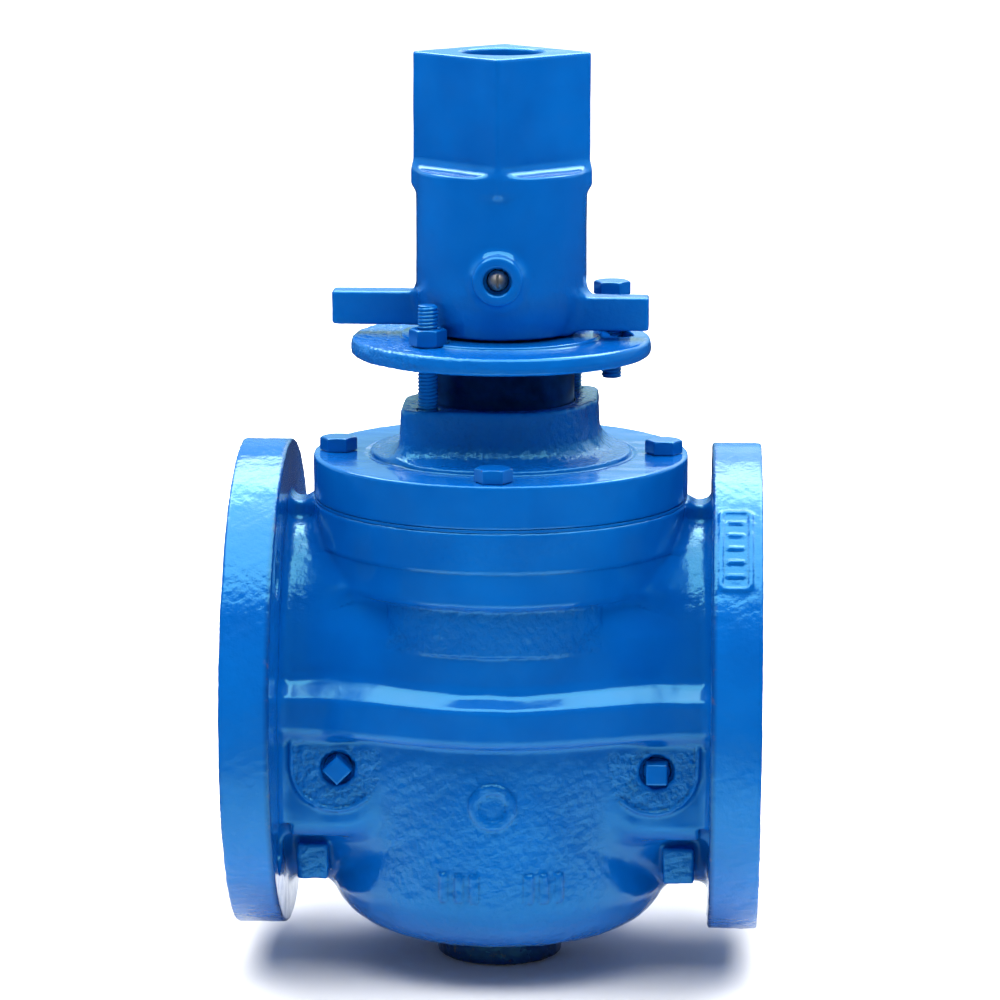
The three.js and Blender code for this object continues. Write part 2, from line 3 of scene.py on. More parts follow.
import bpy
import numpy as np
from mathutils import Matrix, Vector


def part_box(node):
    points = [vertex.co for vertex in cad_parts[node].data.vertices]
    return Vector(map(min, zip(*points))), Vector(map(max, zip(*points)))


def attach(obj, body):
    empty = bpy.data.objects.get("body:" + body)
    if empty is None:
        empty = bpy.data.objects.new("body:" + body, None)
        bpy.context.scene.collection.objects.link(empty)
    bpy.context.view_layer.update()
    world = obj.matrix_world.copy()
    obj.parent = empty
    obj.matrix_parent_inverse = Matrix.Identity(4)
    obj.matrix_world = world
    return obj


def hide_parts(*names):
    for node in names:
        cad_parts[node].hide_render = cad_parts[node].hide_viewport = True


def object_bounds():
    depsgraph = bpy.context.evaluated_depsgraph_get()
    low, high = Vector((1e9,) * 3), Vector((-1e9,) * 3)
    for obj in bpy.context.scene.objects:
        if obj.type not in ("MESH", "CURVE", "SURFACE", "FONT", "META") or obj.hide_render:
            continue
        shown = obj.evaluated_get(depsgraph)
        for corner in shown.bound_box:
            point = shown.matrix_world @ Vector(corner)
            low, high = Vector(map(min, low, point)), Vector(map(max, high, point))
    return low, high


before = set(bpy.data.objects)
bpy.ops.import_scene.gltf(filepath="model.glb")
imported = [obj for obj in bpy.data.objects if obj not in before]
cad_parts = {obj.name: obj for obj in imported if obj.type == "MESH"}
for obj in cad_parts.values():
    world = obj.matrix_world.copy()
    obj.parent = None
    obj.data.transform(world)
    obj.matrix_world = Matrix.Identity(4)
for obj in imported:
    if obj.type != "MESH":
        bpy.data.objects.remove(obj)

import openvdb
from mathutils import Euler, Matrix, Vector

MM = 0.001
CAD_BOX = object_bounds()
FLANGE_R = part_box("valve_body")[1].y / MM
FLOW_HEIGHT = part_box("valve_body")[1].z / MM - FLANGE_R
LIFT = np.array((0, 0, FLOW_HEIGHT))


def cad(node):
    """The lowest and highest corners of a CAD node at rest."""
    low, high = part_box(node)
    return np.array(low) / MM - LIFT, np.array(high) / MM - LIFT


BODY_LOW, BODY_HIGH = cad("valve_body")
BONNET_LOW, BONNET_HIGH = cad("bonnet")
PLATE_LOW, PLATE_HIGH = cad("stop_plate")
HEAD_LOW, HEAD_HIGH = cad("operating_head")
PLUG_LOW, PLUG_HIGH = cad("plug")

END = BODY_HIGH[0]
FLANGE_THICK = END * 0.1875
FLANGE_BACK = END - FLANGE_THICK
BOLT_CIRCLE_R = FLANGE_R * 0.8
BOLT_HOLE_R = FLANGE_THICK / 2
PORT_R = END * 0.375
STEM_R = 19.05
RUNNING_GAP = 0.3
SHANK_R = 3.97
SHANK_HOLE_R = SHANK_R + 0.33
CHAMBER_R, CHAMBER_FLOOR = 58.0, -89.0
BEARING_R, BEARING_HUB_R = 22.6, 30.0
LOWER_HUB_TOP, UPPER_HUB_LOW = -62.0, 62.5
POCKET_FLOOR = -104.0
SEAT_HUB_R, SEAT_HUB_IN = 49.0, 32.0
SEAT_RECESS_R, SEAT_RECESS_END = 45.0, 56.3
CLOSURE_SWEEP_R = 58.2      # the ball that the turning closure and its facing stay inside
BONNET_BOLT_R = 63.5

# --- Fields -------------------------------------------------------------------------------------------------


def meet(a, b, edge=0.0):
    """What lies in both, with an outer edge of the given radius, which may differ from point to point."""
    if np.isscalar(edge) and edge == 0.0:
        return np.maximum(a, b)
    over = np.hypot(np.maximum(a + edge, 0), np.maximum(b + edge, 0))
    return np.minimum(-edge, np.maximum(a, b)) + over


def join(a, b, fillet=0.0):
    """What lies in either, with a fillet of the given radius between them."""
    return -meet(-a, -b, fillet)


def cut(a, b, edge=0.0):
    """a with b taken away."""
    return meet(a, -b, edge)


def span(v, low, high):
    """The slab between two values of one coordinate."""
    return np.maximum(low - v, v - high)


def disc(radial, radius, along, low, high, edge=0.0):
    """A cylinder, from a distance to its axis and a height along it."""
    return meet(radial - radius, span(along, low, high), edge)


def block(u, v, half_u, half_v, corner=0.0):
    """A rectangle round the origin of two coordinates, with rounded corners."""
    du = np.abs(u) - (half_u - corner)
    dv = np.abs(v) - (half_v - corner)
    outside = np.hypot(np.maximum(du, 0), np.maximum(dv, 0))
    return outside + np.minimum(np.maximum(du, dv), 0) - corner


def oval(u, v, half_u, half_v):
    """An ellipse, with a value close to the true distance."""
    near = np.sqrt((u / half_u) ** 2 + (v / half_v) ** 2)
    slope = np.sqrt((u / half_u**2) ** 2 + (v / half_v**2) ** 2)
    return near * (near - 1) / np.maximum(slope, 1e-6)


def fade(v, start, end):
    """0 where v is at start, 1 where it is at end, held outside."""
    return np.clip((v - start) / (end - start), 0, 1)


def polar(radius, degrees):
    """The point at a radius and an angle."""
    return radius * math.cos(math.radians(degrees)), radius * math.sin(math.radians(degrees))


def ripple(x, y, z, size, seed, waves=28):
    """Smooth seeded noise of about unit height, with bumps about `size` across."""
    random = np.random.default_rng(seed)
    total = np.zeros_like(x)
    for _ in range(waves):
        way = random.normal(size=3)
        way *= 2 * math.pi / (size * random.uniform(0.7, 1.6)) / np.linalg.norm(way)
        total += np.cos(way[0] * x + way[1] * y + way[2] * z + random.uniform(0, 2 * math.pi))
    return total / math.sqrt(waves / 2)


# --- Meshing ------------------------------------------------------------------------------------------------

BLOCK = 8           # cells along each side of a block that is worked out together
BATCH = 4000        # blocks worked out at once
STEEPEST = 1.3      # the most a field may change per mm
FAR = 3.0           # how many cells away the grid stops telling distances apart
FARTHEST_MOVE = 0.6   # how many cells a point may move when it settles on the surface


def sampled(field, low, high, step):
    """The field on a grid, worked out only in the blocks that its surface may pass through."""
    counts = np.maximum(np.ceil((high - low) / (BLOCK * step)).astype(int), 1)
    centres = [low[i] + (np.arange(counts[i]) + 0.5) * BLOCK * step for i in range(3)]
    at_centre = field(*np.meshgrid(*centres, indexing="ij"))
    far = FAR * step
    values = np.where(at_centre > 0, far, -far).astype(np.float32)
    values = values.repeat(BLOCK, 0).repeat(BLOCK, 1).repeat(BLOCK, 2)
    reach = BLOCK * step * math.sqrt(3) / 2 * STEEPEST + far
    blocks = np.argwhere(np.abs(at_centre) < reach)
    offsets = np.stack(np.meshgrid(*[np.arange(BLOCK)] * 3, indexing="ij"), -1).reshape(-1, 3)
    for start in range(0, len(blocks), BATCH):
        cells = (blocks[start : start + BATCH, None, :] * BLOCK + offsets[None]).reshape(-1, 3)
        points = low + cells * step
        values[tuple(cells.T)] = np.clip(field(*points.T), -far, far)
    return values


def slope_of(field, points, reach=0.05):
    """The field's gradient at each point."""
    slope = np.empty_like(points)
    for axis in range(3):
        shift = np.zeros(3)
        shift[axis] = reach
        slope[:, axis] = (field(*(points + shift).T) - field(*(points - shift).T)) / (2 * reach)
    return slope


def settled(field, points, limit, rounds=3):
    """Points moved onto the field's surface, none of them farther than the limit."""
    start = points
    for _ in range(rounds):
        slope = slope_of(field, points)
        steep = np.maximum((slope**2).sum(1), 0.2)
        moved = points - slope * (field(*points.T) / steep)[:, None] - start
        length = np.maximum(np.linalg.norm(moved, axis=1), 1e-9)
        points = start + moved * np.minimum(1, limit / length)[:, None]
    return points


def mesh_from(name, points, faces, **values):
    """A smooth mesh from points and groups of faces, keeping each named value on its points."""
    mesh = bpy.data.meshes.new(name)
    sizes = np.concatenate([np.full(len(group), group.shape[1], np.int32) for group in faces])
    corners = np.concatenate([group.reshape(-1) for group in faces]).astype(np.int32)
    mesh.vertices.add(len(points))
    mesh.vertices.foreach_set("co", ((points + LIFT) * MM).astype(np.float32).reshape(-1))
    mesh.loops.add(len(corners))
    mesh.loops.foreach_set("vertex_index", corners)
    mesh.polygons.add(len(sizes))
    mesh.polygons.foreach_set("loop_start", np.concatenate([[0], np.cumsum(sizes)[:-1]]).astype(np.int32))
    mesh.update(calc_edges=True)
    mesh.validate()
    mesh.shade_smooth()
    for label, amount in values.items():
        layer = mesh.attributes.new(label, "FLOAT", "POINT")
        layer.data.foreach_set("value", amount.astype(np.float32))
    return mesh


QUICK_STEP = 1.0


def cast(name, field, low, high, step, rough=None, bare=None, grit=0.0, wave=0.0):
    """Meshes a field. Three values are kept on each point for the paint: `rough`, where the sand-cast skin is
    coarse, one for where the paint is thin or missing and where shade is painted on, and `edge`, how sharply
    the surface turns outwards (above 0.5) or inwards (below)."""
    step *= QUICK_STEP
    low = np.asarray(low, float) - 2 * step
    high = np.asarray(high, float) + 2 * step
    grid = openvdb.FloatGrid(FAR * step)
    grid.copyFromArray(sampled(field, low, high, step))
    points, triangles, quads = grid.convertToPolygons(0.0, 0.0)
    points = settled(field, low + points.astype(float) * step, FARTHEST_MOVE * step)
    normals = slope_of(field, points)
    normals /= np.maximum(np.linalg.norm(normals, axis=1), 1e-6)[:, None]
    turn = field(*(points + normals).T) + field(*(points - normals).T)
    for axis in range(3):
        side = np.cross(normals, np.eye(3)[axis])
        turn += field(*(points + side).T) + field(*(points - side).T)
    nothing = np.zeros(len(points))
    rough_here = rough(*points.T) if rough else nothing
    bare_here = bare(*points.T) if bare else nothing
    height = wave * ripple(*points.T, 11.0, 3) + grit * rough_here * ripple(*points.T, 3.2, 4)
    points = points + normals * height[:, None]
    faces = [group[:, ::-1] for group in (quads, triangles) if len(group)]
    edge = np.clip(0.5 + 0.25 * turn, 0, 1)
    return mesh_from(name, points, faces, rough=rough_here, bare=bare_here, edge=edge)


def piece(mesh, node, material, body, name=None):
    """An object made from a mesh that stands for a CAD node and moves with a body."""
    obj = bpy.data.objects.new(name or node, mesh)
    bpy.context.scene.collection.objects.link(obj)
    mesh.materials.clear()
    mesh.materials.append(material)
    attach(obj, body)
    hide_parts(node)
    return obj


# --- Body casting -------------------------------------------------------------------------------------------

BARREL_R = 67.5
NECK_WIDE, NECK_DEEP, NECK_TALL = 49.5, 79.0, 67.5   # half width, and how far below and above the flow axis
WEB_HALF, WEB_TOP = 7.5, 73.2                        # the web on each neck, up to the bonnet's joint
BODY_TOP = 74.3
INSET = 2.0          # how far short of a face the shapes that run into it stop
BAND_LOW, BAND_R = 59.0, 73.0
LIP_LOW, LIP_R = 44.6, 72.3
BOWL_BOTTOM, BOWL_CORNER, BOWL_SLOPE = -97.0, 19.0, math.radians(8)
FOOT_R = 24.6
FILLET_HEIGHTS, NECK_FILLETS = (-74, -50, 30, 60), (5.0, 20.0, 20.0, 5.0)   # wide at mid height
BEAD_LOW, BEAD_HIGH, BEAD_PROUD = -9.6, 11.0, 7.5
BEAD_FALL = math.radians(33)                         # how steeply the bead's top runs down outwards
BULGE_FACE, BULGE_X, BULGE_Z = 53.4, 72.0, -23.0
BULGE_HALF_X, BULGE_HALF_Z, BULGE_CORNER = 31.5, 27.5, 17.0
PAD_FACE, PAD_X, PAD_R, PAD_TOP, PAD_MIDDLE = 54.0, 61.0, 17.8, -10.2, -21.3
PAD_RIM = 0.6
PLUG_RECESS_R, PLUG_RECESS_DEEP, PLUG_HOLE_R = 6.6, 3.0, 5.5
GATE_X, GATE_Z, GATE_Y = 71.0, -62.5, 42.0
GATE_HALF_X, GATE_HALF_Z = 6.0, 7.0
MARK_PROUD = 1.0
BLANK_Z, BLANK_HALF_WIDE, BLANK_HALF_TALL = 35.2, 43.0, 9.8
RING_Z, RING_R, RING_HALF = -33.0, 7.2, 1.7
RIBS_LOW, RIBS_HIGH = -71.0, -60.0
RIB_STARTS, RIB_COUNT, RIB_PITCH, RIB_HALF = (-19, 14), 3, 6, 1.5
RIM_MARK_AT, RIM_MARK_LONG, RIM_MARK_WIDE = math.radians(46), 17.5, 5.6
RIM_MARK_LINE, RIM_MARK_PROUD = 0.8, 0.8
RIM_RIBS, RIM_RIB_HALF = {"first": -12, "count": 5, "pitch": 6, "half": 0.8}, 3.2
PLUG_SPOTS = [(cad(f"pipe_plug_{side}")[0] + cad(f"pipe_plug_{side}")[1]) / 2 for side in ("left", "right")]


def pad_outline(x, z):
    """A D on its back: flat above, round below. Both sides of the valve are alike."""
    across = np.abs(x) - PAD_X
    round_part = np.hypot(across, z - PAD_MIDDLE) - PAD_R
    upper = block(across, z - (PAD_TOP + PAD_MIDDLE) / 2, PAD_R, (PAD_TOP - PAD_MIDDLE) / 2)
    return np.minimum(round_part, upper)


def body_skin(x, y):
    """The waist's outline seen from above: the barrel running into the necks."""
    return join(np.hypot(x, y) - BARREL_R, np.abs(y) - NECK_WIDE, 24)


def rib_row(v, first, count, pitch, half):
    """A row of narrow ribs along one coordinate."""
    nearest = np.clip(np.round((v - first) / pitch), 0, count - 1)
    return np.abs(v - first - nearest * pitch) - half


def body_marks(x, y, z):
    """Plain raised marks in place of the cast lettering: a blank plate, a ring and two rows of ribs."""
    around = BARREL_R * np.arctan2(x, -y)
    plate = block(around, z - BLANK_Z, BLANK_HALF_WIDE, BLANK_HALF_TALL, 2.5)
    ring = np.abs(np.hypot(around, z - RING_Z) - RING_R) - RING_HALF
    rows = [rib_row(around, start, RIB_COUNT, RIB_PITCH, RIB_HALF) for start in RIB_STARTS]
    return np.minimum(np.minimum(plate, ring), meet(span(z, RIBS_LOW, RIBS_HIGH), np.minimum(*rows)))


def rim_mark(x, y, z):
    """A framed row of plain ribs on the rim of the seat-end flange."""
    along = FLANGE_R * (np.arctan2(z, -y) - RIM_MARK_AT)
    across = x - (END - FLANGE_THICK / 2 - 0.8)
    outline = np.abs(block(along, across, RIM_MARK_LONG, RIM_MARK_WIDE, 2.0)) - RIM_MARK_LINE
    return np.minimum(outline, meet(rib_row(along, **RIM_RIBS), np.abs(across) - RIM_RIB_HALF))


def barrel_field(stem, z):
    """The barrel, its sloped bowl, the lip and band round its top, and the foot."""
    under = (BOWL_BOTTOM + (stem - FOOT_R) * math.tan(BOWL_SLOPE) - z) * math.cos(BOWL_SLOPE)
    barrel = meet(meet(stem - BARREL_R, z - BODY_TOP + INSET), under, BOWL_CORNER)
    lip = meet(meet(stem - LIP_R, z - BODY_TOP + INSET), LIP_LOW - z, 2.6)
    barrel = join(barrel, lip, 4.0)
    band = disc(stem, BAND_R, z, BAND_LOW, BODY_TOP, 0.5)
    foot = disc(stem, FOOT_R, z, BODY_LOW[2], BOWL_BOTTOM + 8, 1.2)
    return join(join(barrel, band, 0.5), foot, 1.5)


def neck_field(y, z, ax):
    """The oval necks along the pipe, with a web on top of each."""
    lower = oval(z, y, NECK_DEEP, NECK_WIDE)
    upper = oval(z, y, NECK_TALL, NECK_WIDE)
    necks = np.where(z < 0, lower, upper)
    web = meet(block(y, z, WEB_HALF, WEB_TOP, 1.5), 40 - z)
    return meet(join(necks, web, 2.5), ax - END + INSET)


def bead_field(x, y, z):
    """The rib that runs from flange to flange and bulges round the barrel."""
    proud = body_skin(x, y)
    top = (z - BEAD_HIGH) * math.cos(BEAD_FALL) + proud * math.sin(BEAD_FALL)
    return meet(meet(proud - BEAD_PROUD, top, 1.3), BEAD_LOW - z, 4.5)


def pad_field(x, y, z, ax):
    """The thick part of each neck round its drain pad, and the D-shaped pad with its thin rim."""
    across = np.abs(y)
    bulge_outline = block(ax - BULGE_X, z - BULGE_Z, BULGE_HALF_X, BULGE_HALF_Z, BULGE_CORNER)
    bulge = meet(meet(across - BULGE_FACE, bulge_outline, 7), ax - END + INSET)
    outline = pad_outline(x, z)
    pad = meet(meet(across - PAD_FACE + 0.35, outline, 0.4), 30 - across)
    rim = meet(meet(across - PAD_FACE - PAD_RIM, np.abs(outline + 0.8) - 0.8, 0.5), 30 - across)
    gate = meet(across - GATE_Y, block(ax - GATE_X, z - GATE_Z, GATE_HALF_X, GATE_HALF_Z, 1.0), 0.8)
    return bulge, np.minimum(pad, rim), gate


def hollow_field(x, z, stem, flow):
    """The plug's chamber, with the lower bearing's hub left standing in it, and the hub for the seat ring."""
    chamber = meet(stem - CHAMBER_R, CHAMBER_FLOOR - z, 14)
    hub = disc(stem, BEARING_HUB_R, z, BODY_LOW[2], LOWER_HUB_TOP, 1)
    pocket = disc(stem, BEARING_R, z, POCKET_FLOOR, LOWER_HUB_TOP + 12)
    chamber = np.minimum(meet(chamber, -hub), pocket)
    ball = np.sqrt(stem**2 + z**2)
    seat_hub = meet(disc(flow, SEAT_HUB_R, x, SEAT_HUB_IN, SEAT_HUB_IN + 30), CLOSURE_SWEEP_R - ball)
    return chamber, seat_hub


def body_field(x, y, z):
    """The whole body casting: outside first, then the chamber, the port and the bolt and plug holes."""
    stem, flow, ax = np.hypot(x, y), np.hypot(y, z), np.abs(x)
    fillet = np.interp(z, FILLET_HEIGHTS, NECK_FILLETS)
    shell = join(barrel_field(stem, z), neck_field(y, z, ax), fillet)

    shell = join(shell, meet(bead_field(x, y, z), ax - END + INSET), 2.5)

    bulge, pad, gate = pad_field(x, y, z, ax)
    shell = join(join(shell, bulge, 4), pad, 0.3)
    shell = join(shell, gate, 2)

    marks = meet(meet(stem - BARREL_R - MARK_PROUD, body_marks(x, y, z), 0.6), y)
    shell = join(shell, meet(marks, BARREL_R - 4 - stem), 0.6)

    shell = join(shell, disc(flow, FLANGE_R, ax, FLANGE_BACK, END, 0.9), 4.5)
    rim = meet(flow - FLANGE_R - RIM_MARK_PROUD, rim_mark(x, y, z), 0.5)
    rim = meet(rim, np.maximum(-x, FLANGE_R - 5 - flow))
    shell = join(shell, rim, 0.5)

    chamber, seat_hub = hollow_field(x, z, stem, flow)
    shell = join(cut(shell, chamber, 0.8), seat_hub, 1)
    shell = cut(shell, flow - PORT_R, 1.0)
    shell = cut(shell, disc(flow, SEAT_RECESS_R, x, 0, SEAT_RECESS_END))

    diagonal = BOLT_CIRCLE_R * math.sqrt(0.5)
    hole = np.hypot(np.abs(y) - diagonal, np.abs(z) - diagonal) - BOLT_HOLE_R
    shell = cut(shell, meet(hole, FLANGE_BACK - 4 - ax), 0.8)
    bolt = np.minimum(np.hypot(ax - BONNET_BOLT_R, y), np.hypot(x, np.abs(y) - BONNET_BOLT_R))
    shell = cut(shell, meet(bolt - SHANK_HOLE_R, BODY_TOP - 20 - z))
    for px, _, pz in PLUG_SPOTS:
        around = np.hypot(x - px, z - pz)
        shell = cut(shell, disc(around, PLUG_RECESS_R, -y, PAD_FACE - PLUG_RECESS_DEEP, 80), 1.2)
        shell = cut(shell, disc(around, PLUG_HOLE_R, -y, 20, 80))
    return shell


def body_rough(x, y, z):
    """Coarse on the pads, gate stubs and marks, medium on the lower bowl, fine on the flange rims."""
    flow, across = np.hypot(y, z), np.abs(y)
    pad = fade(across, 50, 52) * fade(pad_outline(x, z), 0.3, -0.7) * fade(z, BEAD_LOW - 3, BEAD_LOW - 5)
    gate = fade(block(np.abs(x) - GATE_X, z - GATE_Z, GATE_HALF_X - 1, GATE_HALF_Z - 1), 1.5, 0.5)
    gate = gate * fade(across, GATE_Y - 2.5, GATE_Y - 1)
    marks = fade(body_marks(x, y, z), 0.5, -0.5) * fade(np.hypot(x, y), BARREL_R, BARREL_R + 1)
    bowl = fade(z, -12, -24) * fade(np.abs(x), 46, 38) * fade(z, -96, -90)
    rim = fade(flow, FLANGE_R - 1, FLANGE_R - 0.5)
    neck = fade(np.abs(x), 66, 74) * fade(z, 25, 40) * fade(flow, 80, 76)
    return np.maximum.reduce([0.9 * pad, 0.7 * gate, 0.6 * marks, 0.45 * bowl, 0.3 * rim, 0.35 * neck])


def body_bare(x, y, z):
    """Painted shade on the foot, and primer showing along the inner corner of each flange's rim."""
    flow = np.hypot(y, z)
    # painted shade: the foot under the bowl is darkened
    foot = fade(z, BOWL_BOTTOM + 1, BOWL_BOTTOM - 1) * fade(np.hypot(x, y), FOOT_R + 4, FOOT_R + 1)
    rim = fade(np.abs(np.abs(x) - FLANGE_BACK) + np.abs(flow - FLANGE_R), 2.2, 0.8)
    return np.maximum(foot, 0.6 * rim)


# --- Bonnet -------------------------------------------------------------------------------------------------

BONNET_R = 73.0
BONNET_UNDER, BONNET_FACE = 75.7, 92.4
BONNET_RING_R, BONNET_RING_TOP = 50.7, 93.9
STUFFING_R, STUFFING_TOP = 35.0, BONNET_HIGH[2]
PACKING_R, PACKING_FLOOR = 28.9, 88.3
GUTTER_OUT, GUTTER_HALF = 0.9, 0.7
SPIGOT_GAP, SPIGOT_DEEP = 0.7, 5.0
BOX_DRAFT, STUD_HOLE_FLOOR = 0.04, 97.0
EAR_OUT, EAR_FRONT, EAR_BACK, EAR_IN = 37.4, 33.5, 8.0, 8.0
STUD_SPOTS = [(cad(f"gland_stud_{i}")[0] + cad(f"gland_stud_{i}")[1]) / 2 for i in (1, 2)]


def stuffing_plan(x, y):
    """The packing box from above: a circle with a squared ear at front left and another at back right."""
    middle_x, middle_y = (EAR_OUT + EAR_IN) / 2, (EAR_FRONT - EAR_BACK) / 2
    half_x, half_y = (EAR_OUT - EAR_IN) / 2, (EAR_FRONT + EAR_BACK) / 2
    ears = np.minimum(
        block(x + middle_x, y + middle_y, half_x, half_y, 8),
        block(x - middle_x, y - middle_y, half_x, half_y, 8),
    )
    return join(np.hypot(x, y) - STUFFING_R, ears, 3)


def bonnet_field(x, y, z):
    """The bonnet: plate, ring and packing box above, spigot and bearing hub below."""
    stem = np.hypot(x, y)
    plate = disc(stem, BONNET_R, z, BONNET_UNDER, BONNET_FACE, 0.8)
    ring = disc(stem, BONNET_RING_R, z, BONNET_FACE - 5, BONNET_RING_TOP, 0.5)
    gutter = np.abs(stem - BONNET_RING_R - GUTTER_OUT)
    gutter = disc(gutter, GUTTER_HALF, z, BONNET_FACE - 0.5, BONNET_RING_TOP + 5)
    draft = (z - STUFFING_TOP) * BOX_DRAFT
    box = meet(stuffing_plan(x, y) + draft, span(z, BONNET_FACE - 5, STUFFING_TOP), 1.2)
    top = join(cut(np.minimum(plate, ring), gutter, 0.3), box, 7)
    spigot = disc(stem, CHAMBER_R - SPIGOT_GAP, z, BONNET_UNDER - SPIGOT_DEEP, BONNET_UNDER + 5, 0.6)
    hub = disc(stem, BEARING_HUB_R, z, UPPER_HUB_LOW, BONNET_UNDER + 5, 0.6)
    whole = np.minimum(top, np.minimum(spigot, hub))
    bore = np.minimum(stem - BEARING_R, disc(stem, PACKING_R, z, PACKING_FLOOR, 130))
    whole = cut(whole, bore, 0.6)
    for sx, sy, _ in STUD_SPOTS:
        whole = cut(whole, meet(np.hypot(x - sx, y - sy) - SHANK_HOLE_R, STUD_HOLE_FLOOR - z), 0.4)
    return whole


def bonnet_rough(x, y, z):
    """The packing box and the ring keep their sand-cast skin; the plate's face is smoother."""
    stem = np.hypot(x, y)
    return 0.6 * fade(stem, BONNET_RING_R + 1, BONNET_RING_R - 1) * fade(z, BONNET_FACE, BONNET_FACE + 0.6)


# --- Operating head and stop plate --------------------------------------------------------------------------

HEAD_R, HEAD_FOOT_R, HEAD_TAPER_TOP = 33.0, 28.5, 151.0
SHOULDER = 203.4
SQUARE_HALF = 24.6
STEM_BORE_TOP, THROUGH_BORE_R = 203.0, 15.75
WING_LOW, WING_TOP, WING_THICK = 142.0, 155.0, 11.5
SCREW_Z, BOSS_R, BOSS_FACE = 164.3, 9.4, 36.6
POCKET_R, POCKET_DEEP = 5.4, 4.2
PLATE_FACE = PLATE_HIGH[2] - 1.3
PLATE_R, PLATE_RING_R = PLATE_HIGH[0], 38.8
PLATE_DRAFT, COUNTERBORE_R = 0.14, 8.0
STOP_R = 47.0
SLOTS = ((5, 32), (56, 71))


def wings_field(x, y, z):
    """Two bars on opposite sides of the stem that meet the stops."""
    left, right = -HEAD_LOW[0], HEAD_HIGH[0]
    tall = span(z, WING_LOW, WING_TOP)
    left_bar = block(x + left / 2, y - WING_THICK / 2, left / 2, WING_THICK / 2, 2.4)
    right_bar = block(x - right / 2, y + WING_THICK / 2, right / 2, WING_THICK / 2, 1.0)
    return np.minimum(meet(left_bar, tall, 1.0), meet(right_bar, tall, 1.0))


def head_field(x, y, z):
    """The operating head: a tapered barrel under a square, with the wings, the screw's boss and the bore."""
    stem = np.hypot(x, y)
    foot, top = HEAD_LOW[2], HEAD_HIGH[2]
    taper = (HEAD_R - HEAD_FOOT_R) / (HEAD_TAPER_TOP - foot)
    cone = (stem - HEAD_FOOT_R - taper * (z - foot)) / math.hypot(1, taper)
    barrel = meet(stem - HEAD_R, cone, 3)
    barrel = meet(barrel, span(z, foot, SHOULDER), 1.1)

    u, v = (x + y) * math.sqrt(0.5), (x - y) * math.sqrt(0.5)
    square = meet(block(u, v, SQUARE_HALF, SQUARE_HALF, 1.6), span(z, SHOULDER - 6, top), 0.8)
    head = join(barrel, square, 4.5)
    head = join(head, wings_field(x, y, z), 5)

    around = np.hypot(x, z - SCREW_Z)
    head = join(head, disc(around, BOSS_R, -y, 0, BOSS_FACE, 1.2), 4)
    bore = np.minimum(disc(stem, STEM_R + RUNNING_GAP, z, 100, STEM_BORE_TOP), stem - THROUGH_BORE_R)
    head = cut(head, bore, 1.0)
    head = cut(head, disc(around, POCKET_R, -y, BOSS_FACE - POCKET_DEEP, 80), 0.9)
    return cut(head, disc(around, SHANK_HOLE_R, -y, 5, 80))


def head_rough(x, y, z):
    """A little sand-cast grain low on the head, round the wings."""
    return 0.25 * fade(z, 172, 156)


def plate_field(x, y, z):
    """The stop plate: a disc with a raised ring, two counterbored stud holes and two arc-shaped slots."""
    stem = np.hypot(x, y)
    low, middle = PLATE_LOW[2], (PLATE_LOW[2] + PLATE_FACE) / 2 - 0.4
    draft = PLATE_DRAFT * np.abs(z - middle)
    plate = meet(stem - PLATE_R + draft, span(z, low, PLATE_FACE), 1.5)
    raised = disc(stem, PLATE_RING_R, z, low + 2, PLATE_HIGH[2], 0.5)
    plate = join(plate, raised, 0.6)
    for sx, sy, _ in STUD_SPOTS:
        around = np.hypot(x - sx, y - sy)
        plate = cut(plate, disc(around, COUNTERBORE_R, z, PLATE_FACE, PLATE_FACE + 9), 0.4)
        plate = cut(plate, around - SHANK_HOLE_R, 0.4)
    for first, last in SLOTS:
        centre, half = math.radians((first + last) / 2), math.radians((last - first) / 2)
        nearest = np.clip(np.arctan2(y, x) - centre, -half, half) + centre
        slot = np.hypot(x - STOP_R * np.cos(nearest), y - STOP_R * np.sin(nearest)) - SHANK_HOLE_R
        plate = cut(plate, slot, 0.5)
    return cut(plate, stem - STEM_R - RUNNING_GAP, 0.8)


def plate_rough(x, y, z):
    """The outer face keeps a coarse skin, most of all at the left."""
    return fade(np.hypot(x, y), PLATE_RING_R, PLATE_RING_R + 1) * fade(x, 10, -35) * 0.7 + 0.12


# --- Plug ---------------------------------------------------------------------------------------------------

BALL_R = PLUG_HIGH[1]
CLOSURE_HALF, CLOSURE_BACK = 41.0, 30.0
WATERWAY_R = 34.0
ARM_R, ARM_TOP = 26.0, 58.0
BACK_CUT_HALF = 27.0
KEY_HALF, KEY_LOW = 4.75, 150.0


def plug_field(x, y, z):
    """The closure is a slice of a ball, held by an arm above and below the waterway."""
    stem, flow = np.hypot(x, y), np.hypot(y, z)
    ball = np.sqrt(stem**2 + z**2) - BALL_R
    slab = meet(block(x, z, CLOSURE_HALF, CLOSURE_HALF, 3), CLOSURE_BACK - y, 2)
    closure = meet(ball, slab, 1.0)
    arms = meet(meet(ball, np.abs(x) - ARM_R, 1.5), -y)
    hub = disc(stem, ARM_R, z, -ARM_TOP, ARM_TOP, 1.5)
    web = join(join(closure, arms, 4), hub, 4)
    web = cut(web, flow - WATERWAY_R, 2.5)
    web = cut(web, meet(np.abs(z) - BACK_CUT_HALF, y), 2.5)
    trunnion = meet(disc(stem, STEM_R, z, PLUG_LOW[2], PLUG_HIGH[2], 1.5), ARM_TOP - 3 - np.abs(z))
    keyway = meet(block(x, y - STEM_R, KEY_HALF, KEY_HALF), KEY_LOW - z)
    return cut(join(web, trunnion, 2), keyway, 0.3)


# --- Fasteners ----------------------------------------------------------------------------------------------
# Each is made upright round its own origin and put in place afterwards.

